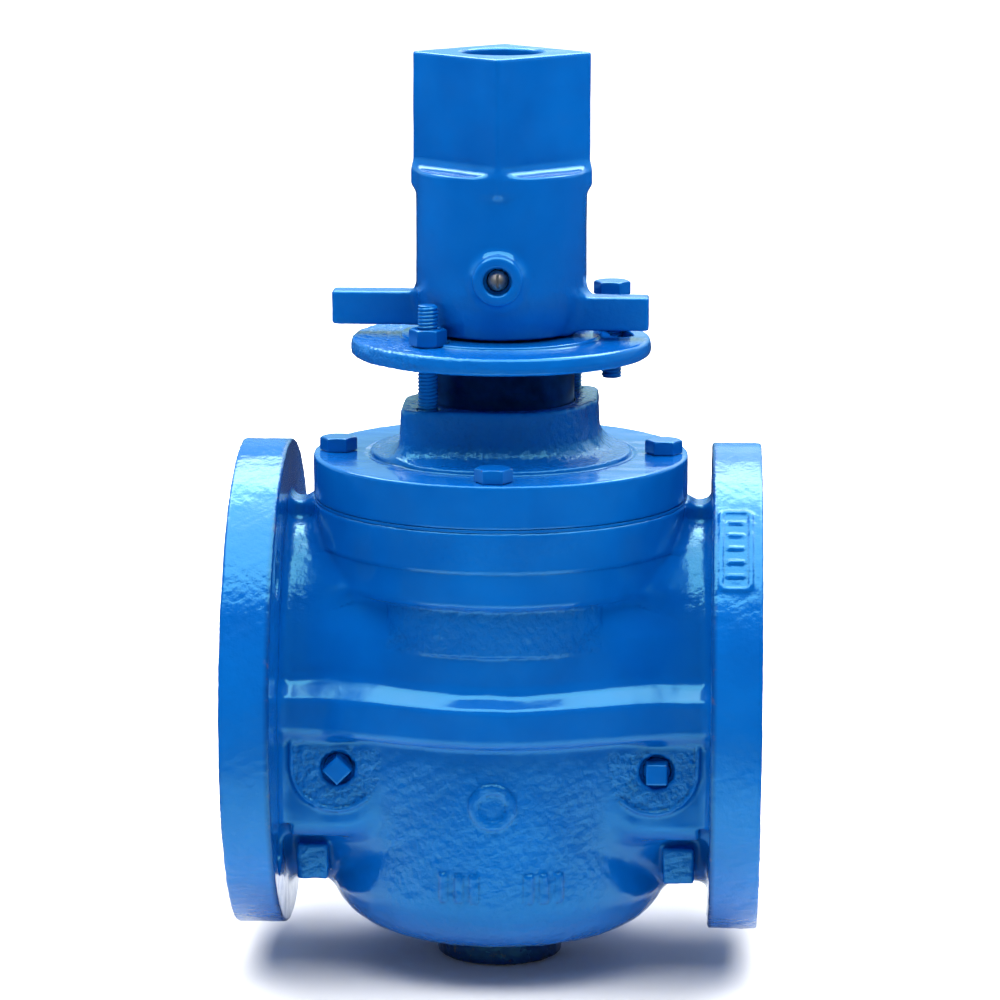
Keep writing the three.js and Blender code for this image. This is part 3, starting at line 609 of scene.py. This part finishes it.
HEX_HALF = 6.35
HEAD_THICK = 5.4
NUT_THICK = 6.6
PITCH = 1.41
THREAD_DEPTH = 0.6
FILLED_CREST = 0.82     # paint fills the thread, so only this share of its depth shows


def hexagon(x, y, half):
    """A hexagon with a flat towards +X."""
    flats = [np.abs(x), np.abs(0.5 * x + math.sqrt(0.75) * y), np.abs(0.5 * x - math.sqrt(0.75) * y)]
    return np.maximum.reduce(flats) - half


def thread(x, y, z):
    """A screw thread on Z."""
    stem = np.hypot(x, y)
    climb = (z / PITCH - np.arctan2(y, x) / (2 * math.pi)) % 1.0
    crest = np.minimum(np.abs(climb - 0.5) * 2, FILLED_CREST)
    return (stem - SHANK_R + THREAD_DEPTH * (FILLED_CREST - crest)) * 0.75


def hex_block(x, y, z, low, high, both_ends=False):
    """A hexagonal head or nut, with its corners turned off at the top, or at both ends."""
    stem, steep = np.hypot(x, y), 1.7
    block_field = meet(hexagon(x, y, HEX_HALF), span(z, low, high), 0.35)
    outside = (z - high) * steep
    if both_ends:
        outside = np.maximum(outside, (low - z) * steep)
    return meet(block_field, (stem - HEX_HALF - 0.1 + outside) / math.hypot(1, steep), 0.4)


def nut_field(x, y, z):
    """A nut standing on z = 0."""
    nut = hex_block(x, y, z, 0, NUT_THICK, both_ends=True)
    return cut(nut, np.hypot(x, y) - SHANK_R - 0.28, 0.5)


def bolt_field(length, threaded):
    """A bolt hanging from its head's underside at z = 0, with the last part of its shank threaded."""
    def field(x, y, z):
        shank = np.where(z < threaded - length, thread(x, y, z), np.hypot(x, y) - SHANK_R)
        shank = meet(shank, span(z, -length, 1.0), 0.7)
        return join(hex_block(x, y, z, 0, HEAD_THICK), shank, 0.3)
    return field


def stud_field(length):
    """A stud threaded all along, standing on z = 0."""
    def field(x, y, z):
        return meet(thread(x, y, z), span(z, 0, length), 0.8)
    return field


PLUG_SQUARE_HALF, PLUG_SHANK_R, PLUG_LENGTH = 4.2, 5.1, 10.0
SCREW_DOME_R = 4.6


def pipe_plug_field(height):
    """A square head of the given height above z = 0, slightly tapered, on a round shank."""
    def field(x, y, z):
        taper = (z - height / 2) * 0.05
        square = block(x, y, PLUG_SQUARE_HALF, PLUG_SQUARE_HALF, 0.7) + taper
        square = meet(square, span(z, -0.5, height), 0.7)
        shank = disc(np.hypot(x, y), PLUG_SHANK_R, z, -PLUG_LENGTH, 0, 0.4)
        return join(square, shank, 0.8)
    return field


def screw_field(length):
    """A set screw with a slotted, domed end at z = 0."""
    def field(x, y, z):
        dome = np.sqrt(x * x + y * y + (z + SCREW_DOME_R) ** 2) - SCREW_DOME_R
        screw = meet(np.hypot(x, y) - SHANK_R + 0.1, np.maximum(dome, -length - z), 0.4)
        return cut(screw, meet(np.abs(x) - 0.4, -0.9 - z), 0.2)
    return field


# --- Turned parts -------------------------------------------------------------------------------------------


def eased(profile, size):
    """A closed profile with every corner rounded off in three short steps."""
    points = [np.array(point, float) for point in profile]
    outline = []
    for before, here, after in zip(points[-1:] + points[:-1], points, points[1:] + points[:1]):
        back, ahead = before - here, after - here
        start = here + back / np.linalg.norm(back) * min(size, np.linalg.norm(back) * 0.45)
        end = here + ahead / np.linalg.norm(ahead) * min(size, np.linalg.norm(ahead) * 0.45)
        for share in (0, 1 / 3, 2 / 3, 1):
            outline.append((1 - share) ** 2 * start + 2 * share * (1 - share) * here + share**2 * end)
    return np.array(outline)


def turned(name, profile, axis="z", ease=0.3, facets=160):
    """A ring turned from a closed profile of (radius, height along the axis), counter-clockwise."""
    outline = eased(profile, ease)
    angles = np.arange(facets) * 2 * math.pi / facets
    radius, along = outline[:, 0][:, None], outline[:, 1][:, None]
    first, second = radius * np.cos(angles), radius * np.sin(angles)
    along = np.broadcast_to(along, first.shape)
    order = {"z": (first, second, along), "x": (along, first, second), "y": (second, along, first)}[axis]
    rows, columns = np.meshgrid(np.arange(len(outline)), np.arange(facets), indexing="ij")
    next_row, next_column = (rows + 1) % len(outline), (columns + 1) % facets
    quads = np.stack([rows * facets + columns, rows * facets + next_column,
                      next_row * facets + next_column, next_row * facets + columns], -1).reshape(-1, 4)
    points = np.stack(order, -1).reshape(-1, 3)
    nothing = np.zeros(len(points))
    mesh = mesh_from(name, points, [quads], rough=nothing, bare=nothing, edge=nothing + 0.5)
    mesh.set_sharp_from_angle(angle=math.radians(40))
    return mesh


def arc(radius, first, last, steps):
    """Points of a (radius, height) profile along a circle about the origin; 90 degrees is on the axis."""
    return [polar(radius, first + (last - first) * i / steps) for i in range(steps + 1)]


def seat_ring_profile():
    """The seat ring, faced with part of a ball about the valve's centre."""
    face_r, outer, back = 57.6, 44.7, 56.0
    face = [(r, math.sqrt(face_r**2 - r**2)) for r in np.linspace(outer, PORT_R, 7)]
    return [(PORT_R, back), (outer, back)] + face


def facing_profile():
    """The rubber over the closure: a cap of a ball, with a thin rim."""
    inner, outer = BALL_R + 2 * RUNNING_GAP, 57.3
    rim = [math.degrees(math.acos(CLOSURE_HALF / radius)) for radius in (outer, inner)]
    return arc(outer, rim[0], 89.5, 24) + arc(inner, 89.5, rim[1], 24)


# --- Materials ----------------------------------------------------------------------------------------------


class Nodes:
    """A short way to write a node tree: add(type, inputs) makes a node and links or sets its inputs."""

    def __init__(self, owner):
        self.owner = owner
        owner.use_nodes = True
        self.tree = owner.node_tree
        self.where = self.add("ShaderNodeTexCoord")
        self.place = self.where.outputs["Object"]

    def add(self, kind, inputs=None, **settings):
        """A new node with its settings, each input linked or given a value."""
        node = self.tree.nodes.new(kind)
        for key, value in settings.items():
            setattr(node, key, value)
        for key, value in (inputs or {}).items():
            self.put(node.inputs[key], value)
        return node

    def put(self, socket, value):
        """Links an input to a socket, or gives it a value."""
        if isinstance(value, bpy.types.NodeSocket):
            self.tree.links.new(value, socket)
        else:
            socket.default_value = value

    def noise(self, size_mm, detail=2.0, roughness=0.5):
        """Noise with features about size_mm across."""
        inputs = {"Vector": self.place, "Scale": 1 / (size_mm * MM), "Detail": detail, "Roughness": roughness}
        return self.add("ShaderNodeTexNoise", inputs).outputs["Fac"]

    def maths(self, operation, a, b=0.0):
        return self.add("ShaderNodeMath", {0: a, 1: b}, operation=operation).outputs[0]

    def fit(self, value, low, high, to_low=0.0, to_high=1.0):
        """Maps low..high to to_low..to_high, held at the ends."""
        inputs = {"Value": value, "From Min": low, "From Max": high, "To Min": to_low, "To Max": to_high}
        return self.add("ShaderNodeMapRange", inputs, clamp=True).outputs["Result"]

    def mix(self, share, a, b):
        """Colour a where share is 0, and b where it is 1."""
        return self.add("ShaderNodeMix", {0: share, 6: a, 7: b}, data_type="RGBA").outputs[2]

    def value(self, name):
        """A value kept on the mesh's points."""
        return self.add("ShaderNodeAttribute", attribute_name=name).outputs["Fac"]

    def bump(self, height, strength, distance_mm, below=None):
        """A normal bent by a height, on top of the one below."""
        inputs = {"Height": height, "Strength": strength, "Distance": distance_mm * MM}
        if below is not None:
            inputs["Normal"] = below
        return self.add("ShaderNodeBump", inputs).outputs["Normal"]

    def finish(self, **sockets):
        """Sets the shader's inputs and returns the finished material."""
        names = {"color": "Base Color", "roughness": "Roughness", "metallic": "Metallic", "normal": "Normal",
                 "specular": "Specular IOR Level", "tint": "Specular Tint",
                 "glow": "Emission Strength", "glow_color": "Emission Color"}
        for key, value in sockets.items():
            self.put(self.tree.nodes["Principled BSDF"].inputs[names[key]], value)
        return self.owner


DEEP_BLUE, BRIGHT_BLUE = (0.0004, 0.085, 0.38, 1), (0.0005, 0.108, 0.45, 1)
# the first colour here is painted shade in inward corners and grain hollows; the second is painted shade on
# the foot and thin paint at the flange rims
CORNER_SHADE_BLUE, FOOT_SHADE_AND_THIN_PAINT_BLUE = (0.0003, 0.055, 0.25, 1), (0.0004, 0.008, 0.1, 1)
BLUISH = (0.22, 0.88, 1, 1)     # the tint of a reflection in the enamel
PRIMER = (0.07, 0.03, 0.022, 1)
GROOVE_PITCH = 1.6


def flange_grooves(n):
    """Concentric grooves, GROOVE_PITCH apart, turned into the two flange faces and softened by the paint."""
    split = n.add("ShaderNodeSeparateXYZ", {0: n.place})
    along = n.maths("ABSOLUTE", split.outputs["X"])
    height = n.maths("SUBTRACT", split.outputs["Z"], FLOW_HEIGHT * MM)
    across = split.outputs["Y"]
    squared = n.maths("ADD", n.maths("MULTIPLY", across, across), n.maths("MULTIPLY", height, height))
    radius = n.maths("SQRT", squared)
    wave = n.maths("SINE", n.maths("MULTIPLY", radius, 2 * math.pi / (GROOVE_PITCH * MM)))
    return n.maths("MULTIPLY", wave, n.fit(along, (END - 0.8) * MM, (END - 0.4) * MM))


def enamel(name, peel=0.3):
    """Glossy blue enamel: slightly uneven colour, painted shade in inward corners and in the hollows of the
    sand-cast grain, a faint orange peel everywhere, sand-cast grain where `rough` is high, and, from the
    value for thin paint and shade, thin paint and primer at the flange rims and painted shade on the foot."""
    n = Nodes(bpy.data.materials.new(name))
    rough, bare, edge = n.value("rough"), n.value("bare"), n.value("edge")
    grain = n.noise(1.4, 2, 0.55)
    blue = n.mix(n.fit(n.noise(38, 3), 0.35, 0.65), DEEP_BLUE, BRIGHT_BLUE)
    # painted shade: darker blue where the surface turns inwards and in the hollows of the cast grain
    height = n.maths("ADD", edge, n.maths("MULTIPLY", rough, n.maths("SUBTRACT", grain, 0.55)))
    blue = n.mix(n.fit(height, 0.1, 0.42), CORNER_SHADE_BLUE, blue)
    # painted shade on the foot, and thin paint and primer at the flange rims, where the value for thin paint
    # and shade is high
    blue = n.mix(bare, blue, n.mix(n.fit(n.noise(5, 4, 0.7), 0.56, 0.66), FOOT_SHADE_AND_THIN_PAINT_BLUE, PRIMER))
    chips = n.maths("MULTIPLY", n.fit(edge, 0.74, 0.9), n.fit(n.noise(2.6, 4, 0.7), 0.63, 0.68))
    chips = n.maths("MULTIPLY", chips, n.fit(rough, 0.3, 0.05))
    colour = n.mix(chips, blue, PRIMER)

    skin = n.bump(n.noise(2.4, 1), peel, 0.1)
    skin = n.bump(n.noise(7.5, 2), 0.3, 0.22, skin)
    skin = n.bump(grain, n.maths("MULTIPLY", rough, 0.85), 0.6, skin)
    skin = n.bump(flange_grooves(n), 0.6, 0.12, skin)
    gloss = n.fit(n.noise(9, 3), 0.3, 0.7, 0.12, 0.2)
    gloss = n.maths("ADD", gloss, n.maths("MULTIPLY", n.maths("MAXIMUM", rough, bare), 0.1))
    return n.finish(color=colour, roughness=gloss, normal=skin, specular=0.85, tint=BLUISH)


def bare_metal(name, dark, light, roughness, marks="Z", stain=0.0):
    """Turned metal: fine tool marks across one axis, blotches and a little stain."""
    n = Nodes(bpy.data.materials.new(name))
    blotch = n.noise(7, 4, 0.6)
    colour = n.mix(n.fit(blotch, 0.3, 0.7), dark, light)
    rust = n.maths("MULTIPLY", n.fit(n.noise(3.2, 5, 0.7), 0.52, 0.66), stain)
    colour = n.mix(rust, colour, (0.19, 0.07, 0.03, 1))
    lines = n.add("ShaderNodeTexWave", {"Vector": n.place, "Scale": 500.0, "Distortion": 1.5, "Detail": 2.0},
                  wave_type="BANDS", bands_direction=marks).outputs["Fac"]
    skin = n.bump(n.noise(1.1, 3), 0.2, 0.05, n.bump(lines, 0.25, 0.03))
    rough = n.fit(blotch, 0.3, 0.7, roughness, roughness + 0.16)
    return n.finish(color=colour, metallic=1.0, roughness=rough, normal=skin)


def sand_cast(name):
    """Bare grey iron with a grainy cast skin and a trace of rust."""
    n = Nodes(bpy.data.materials.new(name))
    grain = n.noise(1.4, 3, 0.6)
    colour = n.mix(n.fit(grain, 0.35, 0.65), (0.028, 0.028, 0.03, 1), (0.085, 0.083, 0.08, 1))
    colour = n.mix(n.fit(n.noise(14, 5, 0.7), 0.55, 0.7, 0, 0.5), colour, (0.12, 0.045, 0.02, 1))
    return n.finish(color=colour, metallic=0.5, roughness=n.fit(grain, 0.3, 0.7, 0.62, 0.45),
                    normal=n.bump(grain, 0.6, 0.35))


def rubber(name):
    """Matt black rubber with a fine moulded grain and a few paler, dusty patches."""
    n = Nodes(bpy.data.materials.new(name))
    grain = n.noise(0.9, 3, 0.6)
    colour = n.mix(n.fit(n.noise(12, 4), 0.4, 0.7), (0.008, 0.008, 0.009, 1), (0.022, 0.022, 0.023, 1))
    matt = n.fit(grain, 0.3, 0.7, 0.55, 0.7)
    return n.finish(color=colour, roughness=matt, normal=n.bump(grain, 0.5, 0.08))


def braid(name):
    """Braided packing: crossing diagonal strands."""
    n = Nodes(bpy.data.materials.new(name))
    waves = [n.add("ShaderNodeTexWave", {"Vector": n.place, "Scale": 160.0, "Distortion": 0.6},
                   wave_type="RINGS", rings_direction=way).outputs["Fac"] for way in ("X", "Y")]
    strands = n.maths("MAXIMUM", *waves)
    colour = n.mix(strands, (0.1, 0.095, 0.08, 1), (0.42, 0.39, 0.33, 1))
    return n.finish(color=colour, roughness=0.85, normal=n.bump(strands, 0.8, 0.4))


ENAMEL = enamel("blue_enamel")
HARDWARE = enamel("blue_enamel_hardware", peel=0.2)
# the gland's metal is coloured blue: a painted reflection of the blue castings round it
GLAND_IRON_PAINTED_REFLECTION = bare_metal("gland_iron_painted_blue_reflection", (0.006, 0.05, 0.2, 1), (0.01, 0.09, 0.32, 1), 0.3)
CAST_IRON = sand_cast("sand_cast_iron")
STEEL = bare_metal("steel", (0.5, 0.42, 0.38, 1), (0.82, 0.74, 0.68, 1), 0.42, stain=0.6)
STAINLESS = bare_metal("stainless", (0.5, 0.51, 0.52, 1), (0.66, 0.67, 0.68, 1), 0.2, marks="X")
BRONZE = bare_metal("bronze", (0.32, 0.19, 0.07, 1), (0.5, 0.32, 0.13, 1), 0.34)
RUBBER = rubber("rubber")
PACKING = braid("braided_packing")

# --- Build --------------------------------------------------------------------------------------------------

ROOT, ROTOR = "housing", "rotor"
BONNET_BOLT_TURN = 30
BOLT_GRIP = 28.6
SEAT_GAP = 0.15             # between a nut or bolt head and the face under it
GLAND_NUT_TURNS = (45, 30)
STOP_BODIES = ("open", "closed")
PLUG_TURNS = {"left": 45, "right": 0}


def middle(node):
    """The middle of a CAD node at rest."""
    low, high = cad(node)
    return (low + high) / 2


def build_castings():
    """The five castings, each meshed where it stands."""
    body = cast("body", body_field, BODY_LOW, BODY_HIGH, 1.0, body_rough, body_bare, grit=0.16, wave=0.06)
    piece(body, "valve_body", ENAMEL, ROOT, "body_casting")
    bonnet = cast("bonnet", bonnet_field, BONNET_LOW, BONNET_HIGH, 0.8, bonnet_rough, grit=0.12, wave=0.03)
    piece(bonnet, "bonnet", ENAMEL, ROOT, "bonnet_casting")
    plate = cast("plate", plate_field, PLATE_LOW, PLATE_HIGH, 0.6, plate_rough, grit=0.1, wave=0.02)
    piece(plate, "stop_plate", ENAMEL, ROOT, "stop_plate_disc")
    head = cast("head", head_field, HEAD_LOW, HEAD_HIGH, 0.7, head_rough, grit=0.1, wave=0.03)
    piece(head, "operating_head", ENAMEL, ROTOR, "operating_head_casting")
    plug = cast("plug", plug_field, PLUG_LOW, PLUG_HIGH, 1.2, wave=0.06)
    piece(plug, "plug", CAST_IRON, ROTOR, "plug_casting")


def put(mesh, node, material, body, at, turn=(0, 0, 0)):
    """A copy of a mesh made upright round its own origin, turned in degrees and moved to a point."""
    spin = Euler([math.radians(angle) for angle in turn]).to_matrix().to_4x4()
    home = Matrix.Translation(Vector(LIFT * MM))
    mesh = mesh.copy()
    mesh.transform(home @ Matrix.Translation(Vector(np.array(at) * MM)) @ spin @ home.inverted())
    piece(mesh, node, material, body, f"{node}_piece")


def small(name, field, radius, low, high, step=0.3):
    """Meshes a fastener that lies within a radius of its own upright axis."""
    return cast(name, field, (-radius, -radius, low), (radius, radius, high), step)


def build_fasteners():
    """Bolts, studs, nuts, pipe plugs and the set screw. Equal ones are meshed once and copied."""
    corner = HEX_HALF * 1.2
    stop_length = cad("open_stop_bolt")[1][2] - HEAD_THICK - cad("open_stop_bolt")[0][2]
    stud_low, stud_high = (cad("gland_stud_1")[i][2] for i in (0, 1))
    bolt = small("hex_bolt", bolt_field(BOLT_GRIP, 8), corner, -BOLT_GRIP, HEAD_THICK)
    stop = small("stop_bolt", bolt_field(stop_length, stop_length - 5), corner, -stop_length, HEAD_THICK)
    nut = small("hex_nut", nut_field, corner, 0, NUT_THICK)
    stud = small("stud", stud_field(stud_high - stud_low), SHANK_R + 1, 0, stud_high - stud_low)
    for i in range(1, 5):
        spot = (*middle(f"bonnet_bolt_{i}")[:2], BONNET_FACE + SEAT_GAP)
        put(bolt, f"bonnet_bolt_{i}", HARDWARE, ROOT, spot, (0, 0, BONNET_BOLT_TURN))
    for i, turn in enumerate(GLAND_NUT_TURNS, 1):
        spot = middle(f"gland_stud_{i}")[:2]
        put(stud, f"gland_stud_{i}", HARDWARE, ROOT, (*spot, stud_low))
        put(nut, f"gland_nut_{i}", HARDWARE, ROOT, (*spot, PLATE_FACE + SEAT_GAP), (0, 0, turn))
    for stop_name in STOP_BODIES:
        low, high = cad(f"{stop_name}_stop_bolt")
        spot = middle(f"{stop_name}_stop_bolt")[:2]
        turn = math.degrees(math.atan2(spot[1], spot[0]))
        at_head = (*spot, high[2] - HEAD_THICK)
        put(stop, f"{stop_name}_stop_bolt", HARDWARE, f"{stop_name}_stop", at_head, (0, 0, turn))
        levels = {"upper": PLATE_FACE + SEAT_GAP, "lower": PLATE_LOW[2] - SEAT_GAP - NUT_THICK}
        for level, height in levels.items():
            node = f"{stop_name}_stop_nut_{level}"
            put(nut, node, HARDWARE, f"{stop_name}_stop", (*spot, height), (0, 0, turn))
    for side, spot in zip(("left", "right"), PLUG_SPOTS):
        seat = PAD_FACE - PLUG_RECESS_DEEP
        height = -cad(f"pipe_plug_{side}")[0][1] - seat
        plug = small("pipe_plug", pipe_plug_field(height), PLUG_SHANK_R + 2, -PLUG_LENGTH, height)
        turn = (90, PLUG_TURNS[side], 0)
        put(plug, f"pipe_plug_{side}", HARDWARE, ROOT, (spot[0], -seat, spot[2]), turn)
    low, high = cad("head_set_screw")
    length = high[1] - low[1]
    screw = small("set_screw", screw_field(length), SHANK_R + 1, -length, 0.3, 0.22)
    put(screw, "head_set_screw", STEEL, ROTOR, (0, low[1], SCREW_Z), (90, 0, 0))


BEARING_OUT, WASHER_OUT = 22.3, 29.0
GLAND_OUT, PACKING_OUT = 28.475, 28.575
GASKET_IN, GASKET_OUT = 58.0, 72.8
PAINT_FILL = 0.2            # the paint over the gasket's edge fills most of the joint


def build_turned_parts():
    """The plain rings inside the valve, the seat ring and the rubber facing."""
    inner = STEM_R + RUNNING_GAP
    rings = {
        "upper_bearing": (inner, BEARING_OUT, BRONZE, "bronze"),
        "lower_bearing": (inner, BEARING_OUT, BRONZE, "bronze"),
        "upper_grit_seal": (inner, BEARING_OUT, RUBBER, "rubber"),
        "lower_grit_seal": (inner, BEARING_OUT, RUBBER, "rubber"),
        "upper_thrust_washer": (inner, WASHER_OUT, BRONZE, "bronze"),
        "lower_thrust_washer": (inner, WASHER_OUT, BRONZE, "bronze"),
        "packing_gland": (inner, GLAND_OUT, GLAND_IRON_PAINTED_REFLECTION, "bare_iron"),
        "bonnet_gasket": (GASKET_IN, GASKET_OUT, HARDWARE, "rubber"),
    }
    for i in range(1, 5):
        rings[f"packing_ring_{i}"] = (inner, PACKING_OUT, PACKING, "packing")
    for node, (inside, outside, material, slot) in rings.items():
        swell = PAINT_FILL if node == "bonnet_gasket" else 0.0
        low, high = cad(node)[0][2] - swell, cad(node)[1][2] + swell
        profile = [(inside, low), (outside, low), (outside, high), (inside, high)]
        piece(turned(node, profile), node, material, ROOT, f"{node}_piece")
    seat = turned("seat_ring", seat_ring_profile(), axis="x")
    piece(seat, "seat_ring", STAINLESS, ROOT, "seat_ring_piece")
    facing = turned("plug_facing", facing_profile(), axis="y", ease=0.5)
    piece(facing, "plug_facing", RUBBER, ROTOR, "plug_facing_piece")


def paint_key():
    """The drive key keeps its CAD mesh and gets a steel finish."""
    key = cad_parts["drive_key"]
    key.data.materials.clear()
    key.data.materials.append(STEEL)


build_castings()
build_fasteners()
build_turned_parts()
paint_key()

# --- Studio -------------------------------------------------------------------------------------------------


WHITE = (1, 1, 1, 1)
CAMERA_DISTANCE = 1.6626
SENSOR_WIDTH, FOCAL_LENGTH = 36, 153
VALVE_MIDDLE = (0, 0, 0.17)


def pale_floor():
    """White to the camera, with the valve's shadow near it. In reflections only the sheet that the valve
    stands on is pale, and the floor beyond it is as dim as a dark room."""
    n = Nodes(bpy.data.materials.new("studio_floor"))
    tone = n.mix(n.noise(400, 2), (0.86, 0.86, 0.87, 1), (0.9, 0.9, 0.9, 1))
    distance = n.add("ShaderNodeVectorMath", {0: n.place}, operation="LENGTH").outputs["Value"]
    path = n.add("ShaderNodeLightPath")
    dim = n.maths("MULTIPLY", path.outputs["Is Glossy Ray"], n.fit(distance, 0.16, 0.34))
    tone = n.mix(dim, tone, (0.01, 0.012, 0.015, 1))
    glow = n.maths("MULTIPLY", path.outputs["Is Camera Ray"], n.fit(distance, 0.1, 0.5))
    return n.finish(color=tone, roughness=0.8, specular=0.1, glow=glow, glow_color=WHITE)


def floor():
    """A plain square floor just under the valve's foot."""
    half = 6.0
    z = CAD_BOX[0][2] - 0.0005
    mesh = bpy.data.meshes.new("floor")
    corners = [(-half, -half, z), (half, -half, z), (half, half, z), (-half, half, z)]
    mesh.from_pydata(corners, [], [(0, 1, 2, 3)])
    mesh.materials.append(pale_floor())
    obj = bpy.data.objects.new("floor", mesh)
    bpy.context.scene.collection.objects.link(obj)


def softbox(name, place, target, size, radiance, only_reflected=False):
    """A rectangular light of the given size in metres that looks equally bright from everywhere."""
    lamp = bpy.data.lights.new(name, "AREA")
    lamp.shape = "RECTANGLE"
    lamp.size, lamp.size_y = size
    lamp.energy = radiance * math.pi * size[0] * size[1]
    obj = bpy.data.objects.new(name, lamp)
    bpy.context.scene.collection.objects.link(obj)
    obj.visible_diffuse = not only_reflected
    obj.location = place
    obj.rotation_euler = (Vector(target) - obj.location).to_track_quat("-Z", "Y").to_euler()


def room():
    """White to the camera. In reflections it is a pale wall, bright behind the valve and dim in front of it.
    It lights the valve evenly and weakly."""
    world = bpy.data.worlds.new("studio")
    bpy.context.scene.world = world
    n = Nodes(world)
    split = n.add("ShaderNodeSeparateXYZ", {0: n.where.outputs["Generated"]})
    path = n.add("ShaderNodeLightPath")
    foot = n.fit(split.outputs["Z"], -0.02, 0.08, 0.2)
    top = n.fit(split.outputs["Z"], 0.7, 0.4, 0.15)
    behind = n.fit(split.outputs["Y"], -0.4, 0.3, 0.15, 1.1)
    wall = n.maths("MULTIPLY", n.maths("MULTIPLY", foot, top), behind)
    tinted = n.mix(wall, (0, 0, 0, 1), (0.42, 0.85, 1, 1))
    light = n.mix(path.outputs["Is Glossy Ray"], (0.3, 0.3, 0.3, 1), tinted)
    seen = n.mix(path.outputs["Is Camera Ray"], light, WHITE)
    n.put(n.tree.nodes["Background"].inputs["Color"], seen)


def camera():
    """A long lens from far off, slightly right of square on, looking down on the valve."""
    lens = bpy.data.cameras.new("view")
    lens.sensor_width = SENSOR_WIDTH
    lens.lens = FOCAL_LENGTH
    obj = bpy.data.objects.new("view", lens)
    bpy.context.scene.collection.objects.link(obj)
    turn, pitch, roll = math.radians(2.47), math.radians(11.11), math.radians(0.15)
    ahead = Vector((-math.sin(turn) * math.cos(pitch), math.cos(turn) * math.cos(pitch), -math.sin(pitch)))
    target = Vector((-0.0003, 0, (FLOW_HEIGHT + 73.1) * MM))
    facing = ahead.to_track_quat("-Z", "Y").to_matrix().to_4x4() @ Matrix.Rotation(roll, 4, "Z")
    obj.location = target - ahead * CAMERA_DISTANCE
    obj.rotation_euler = facing.to_euler()
    bpy.context.scene.camera = obj


floor()
room()
camera()
softbox("overhead", (0, 0.1, 1.5), (0, 0.1, 0), (2.6, 2.2), 5.0)
softbox("highlight", (0, 0.98, 1.45), (0, 0.98, 0), (2.0, 1.06), 6.0, only_reflected=True)
softbox("back", (0.6, 1.6, 1.0), VALVE_MIDDLE, (1.6, 0.8), 1.0)
bpy.context.scene.view_settings.view_transform = "Standard"

bpy.context.view_layer.update()
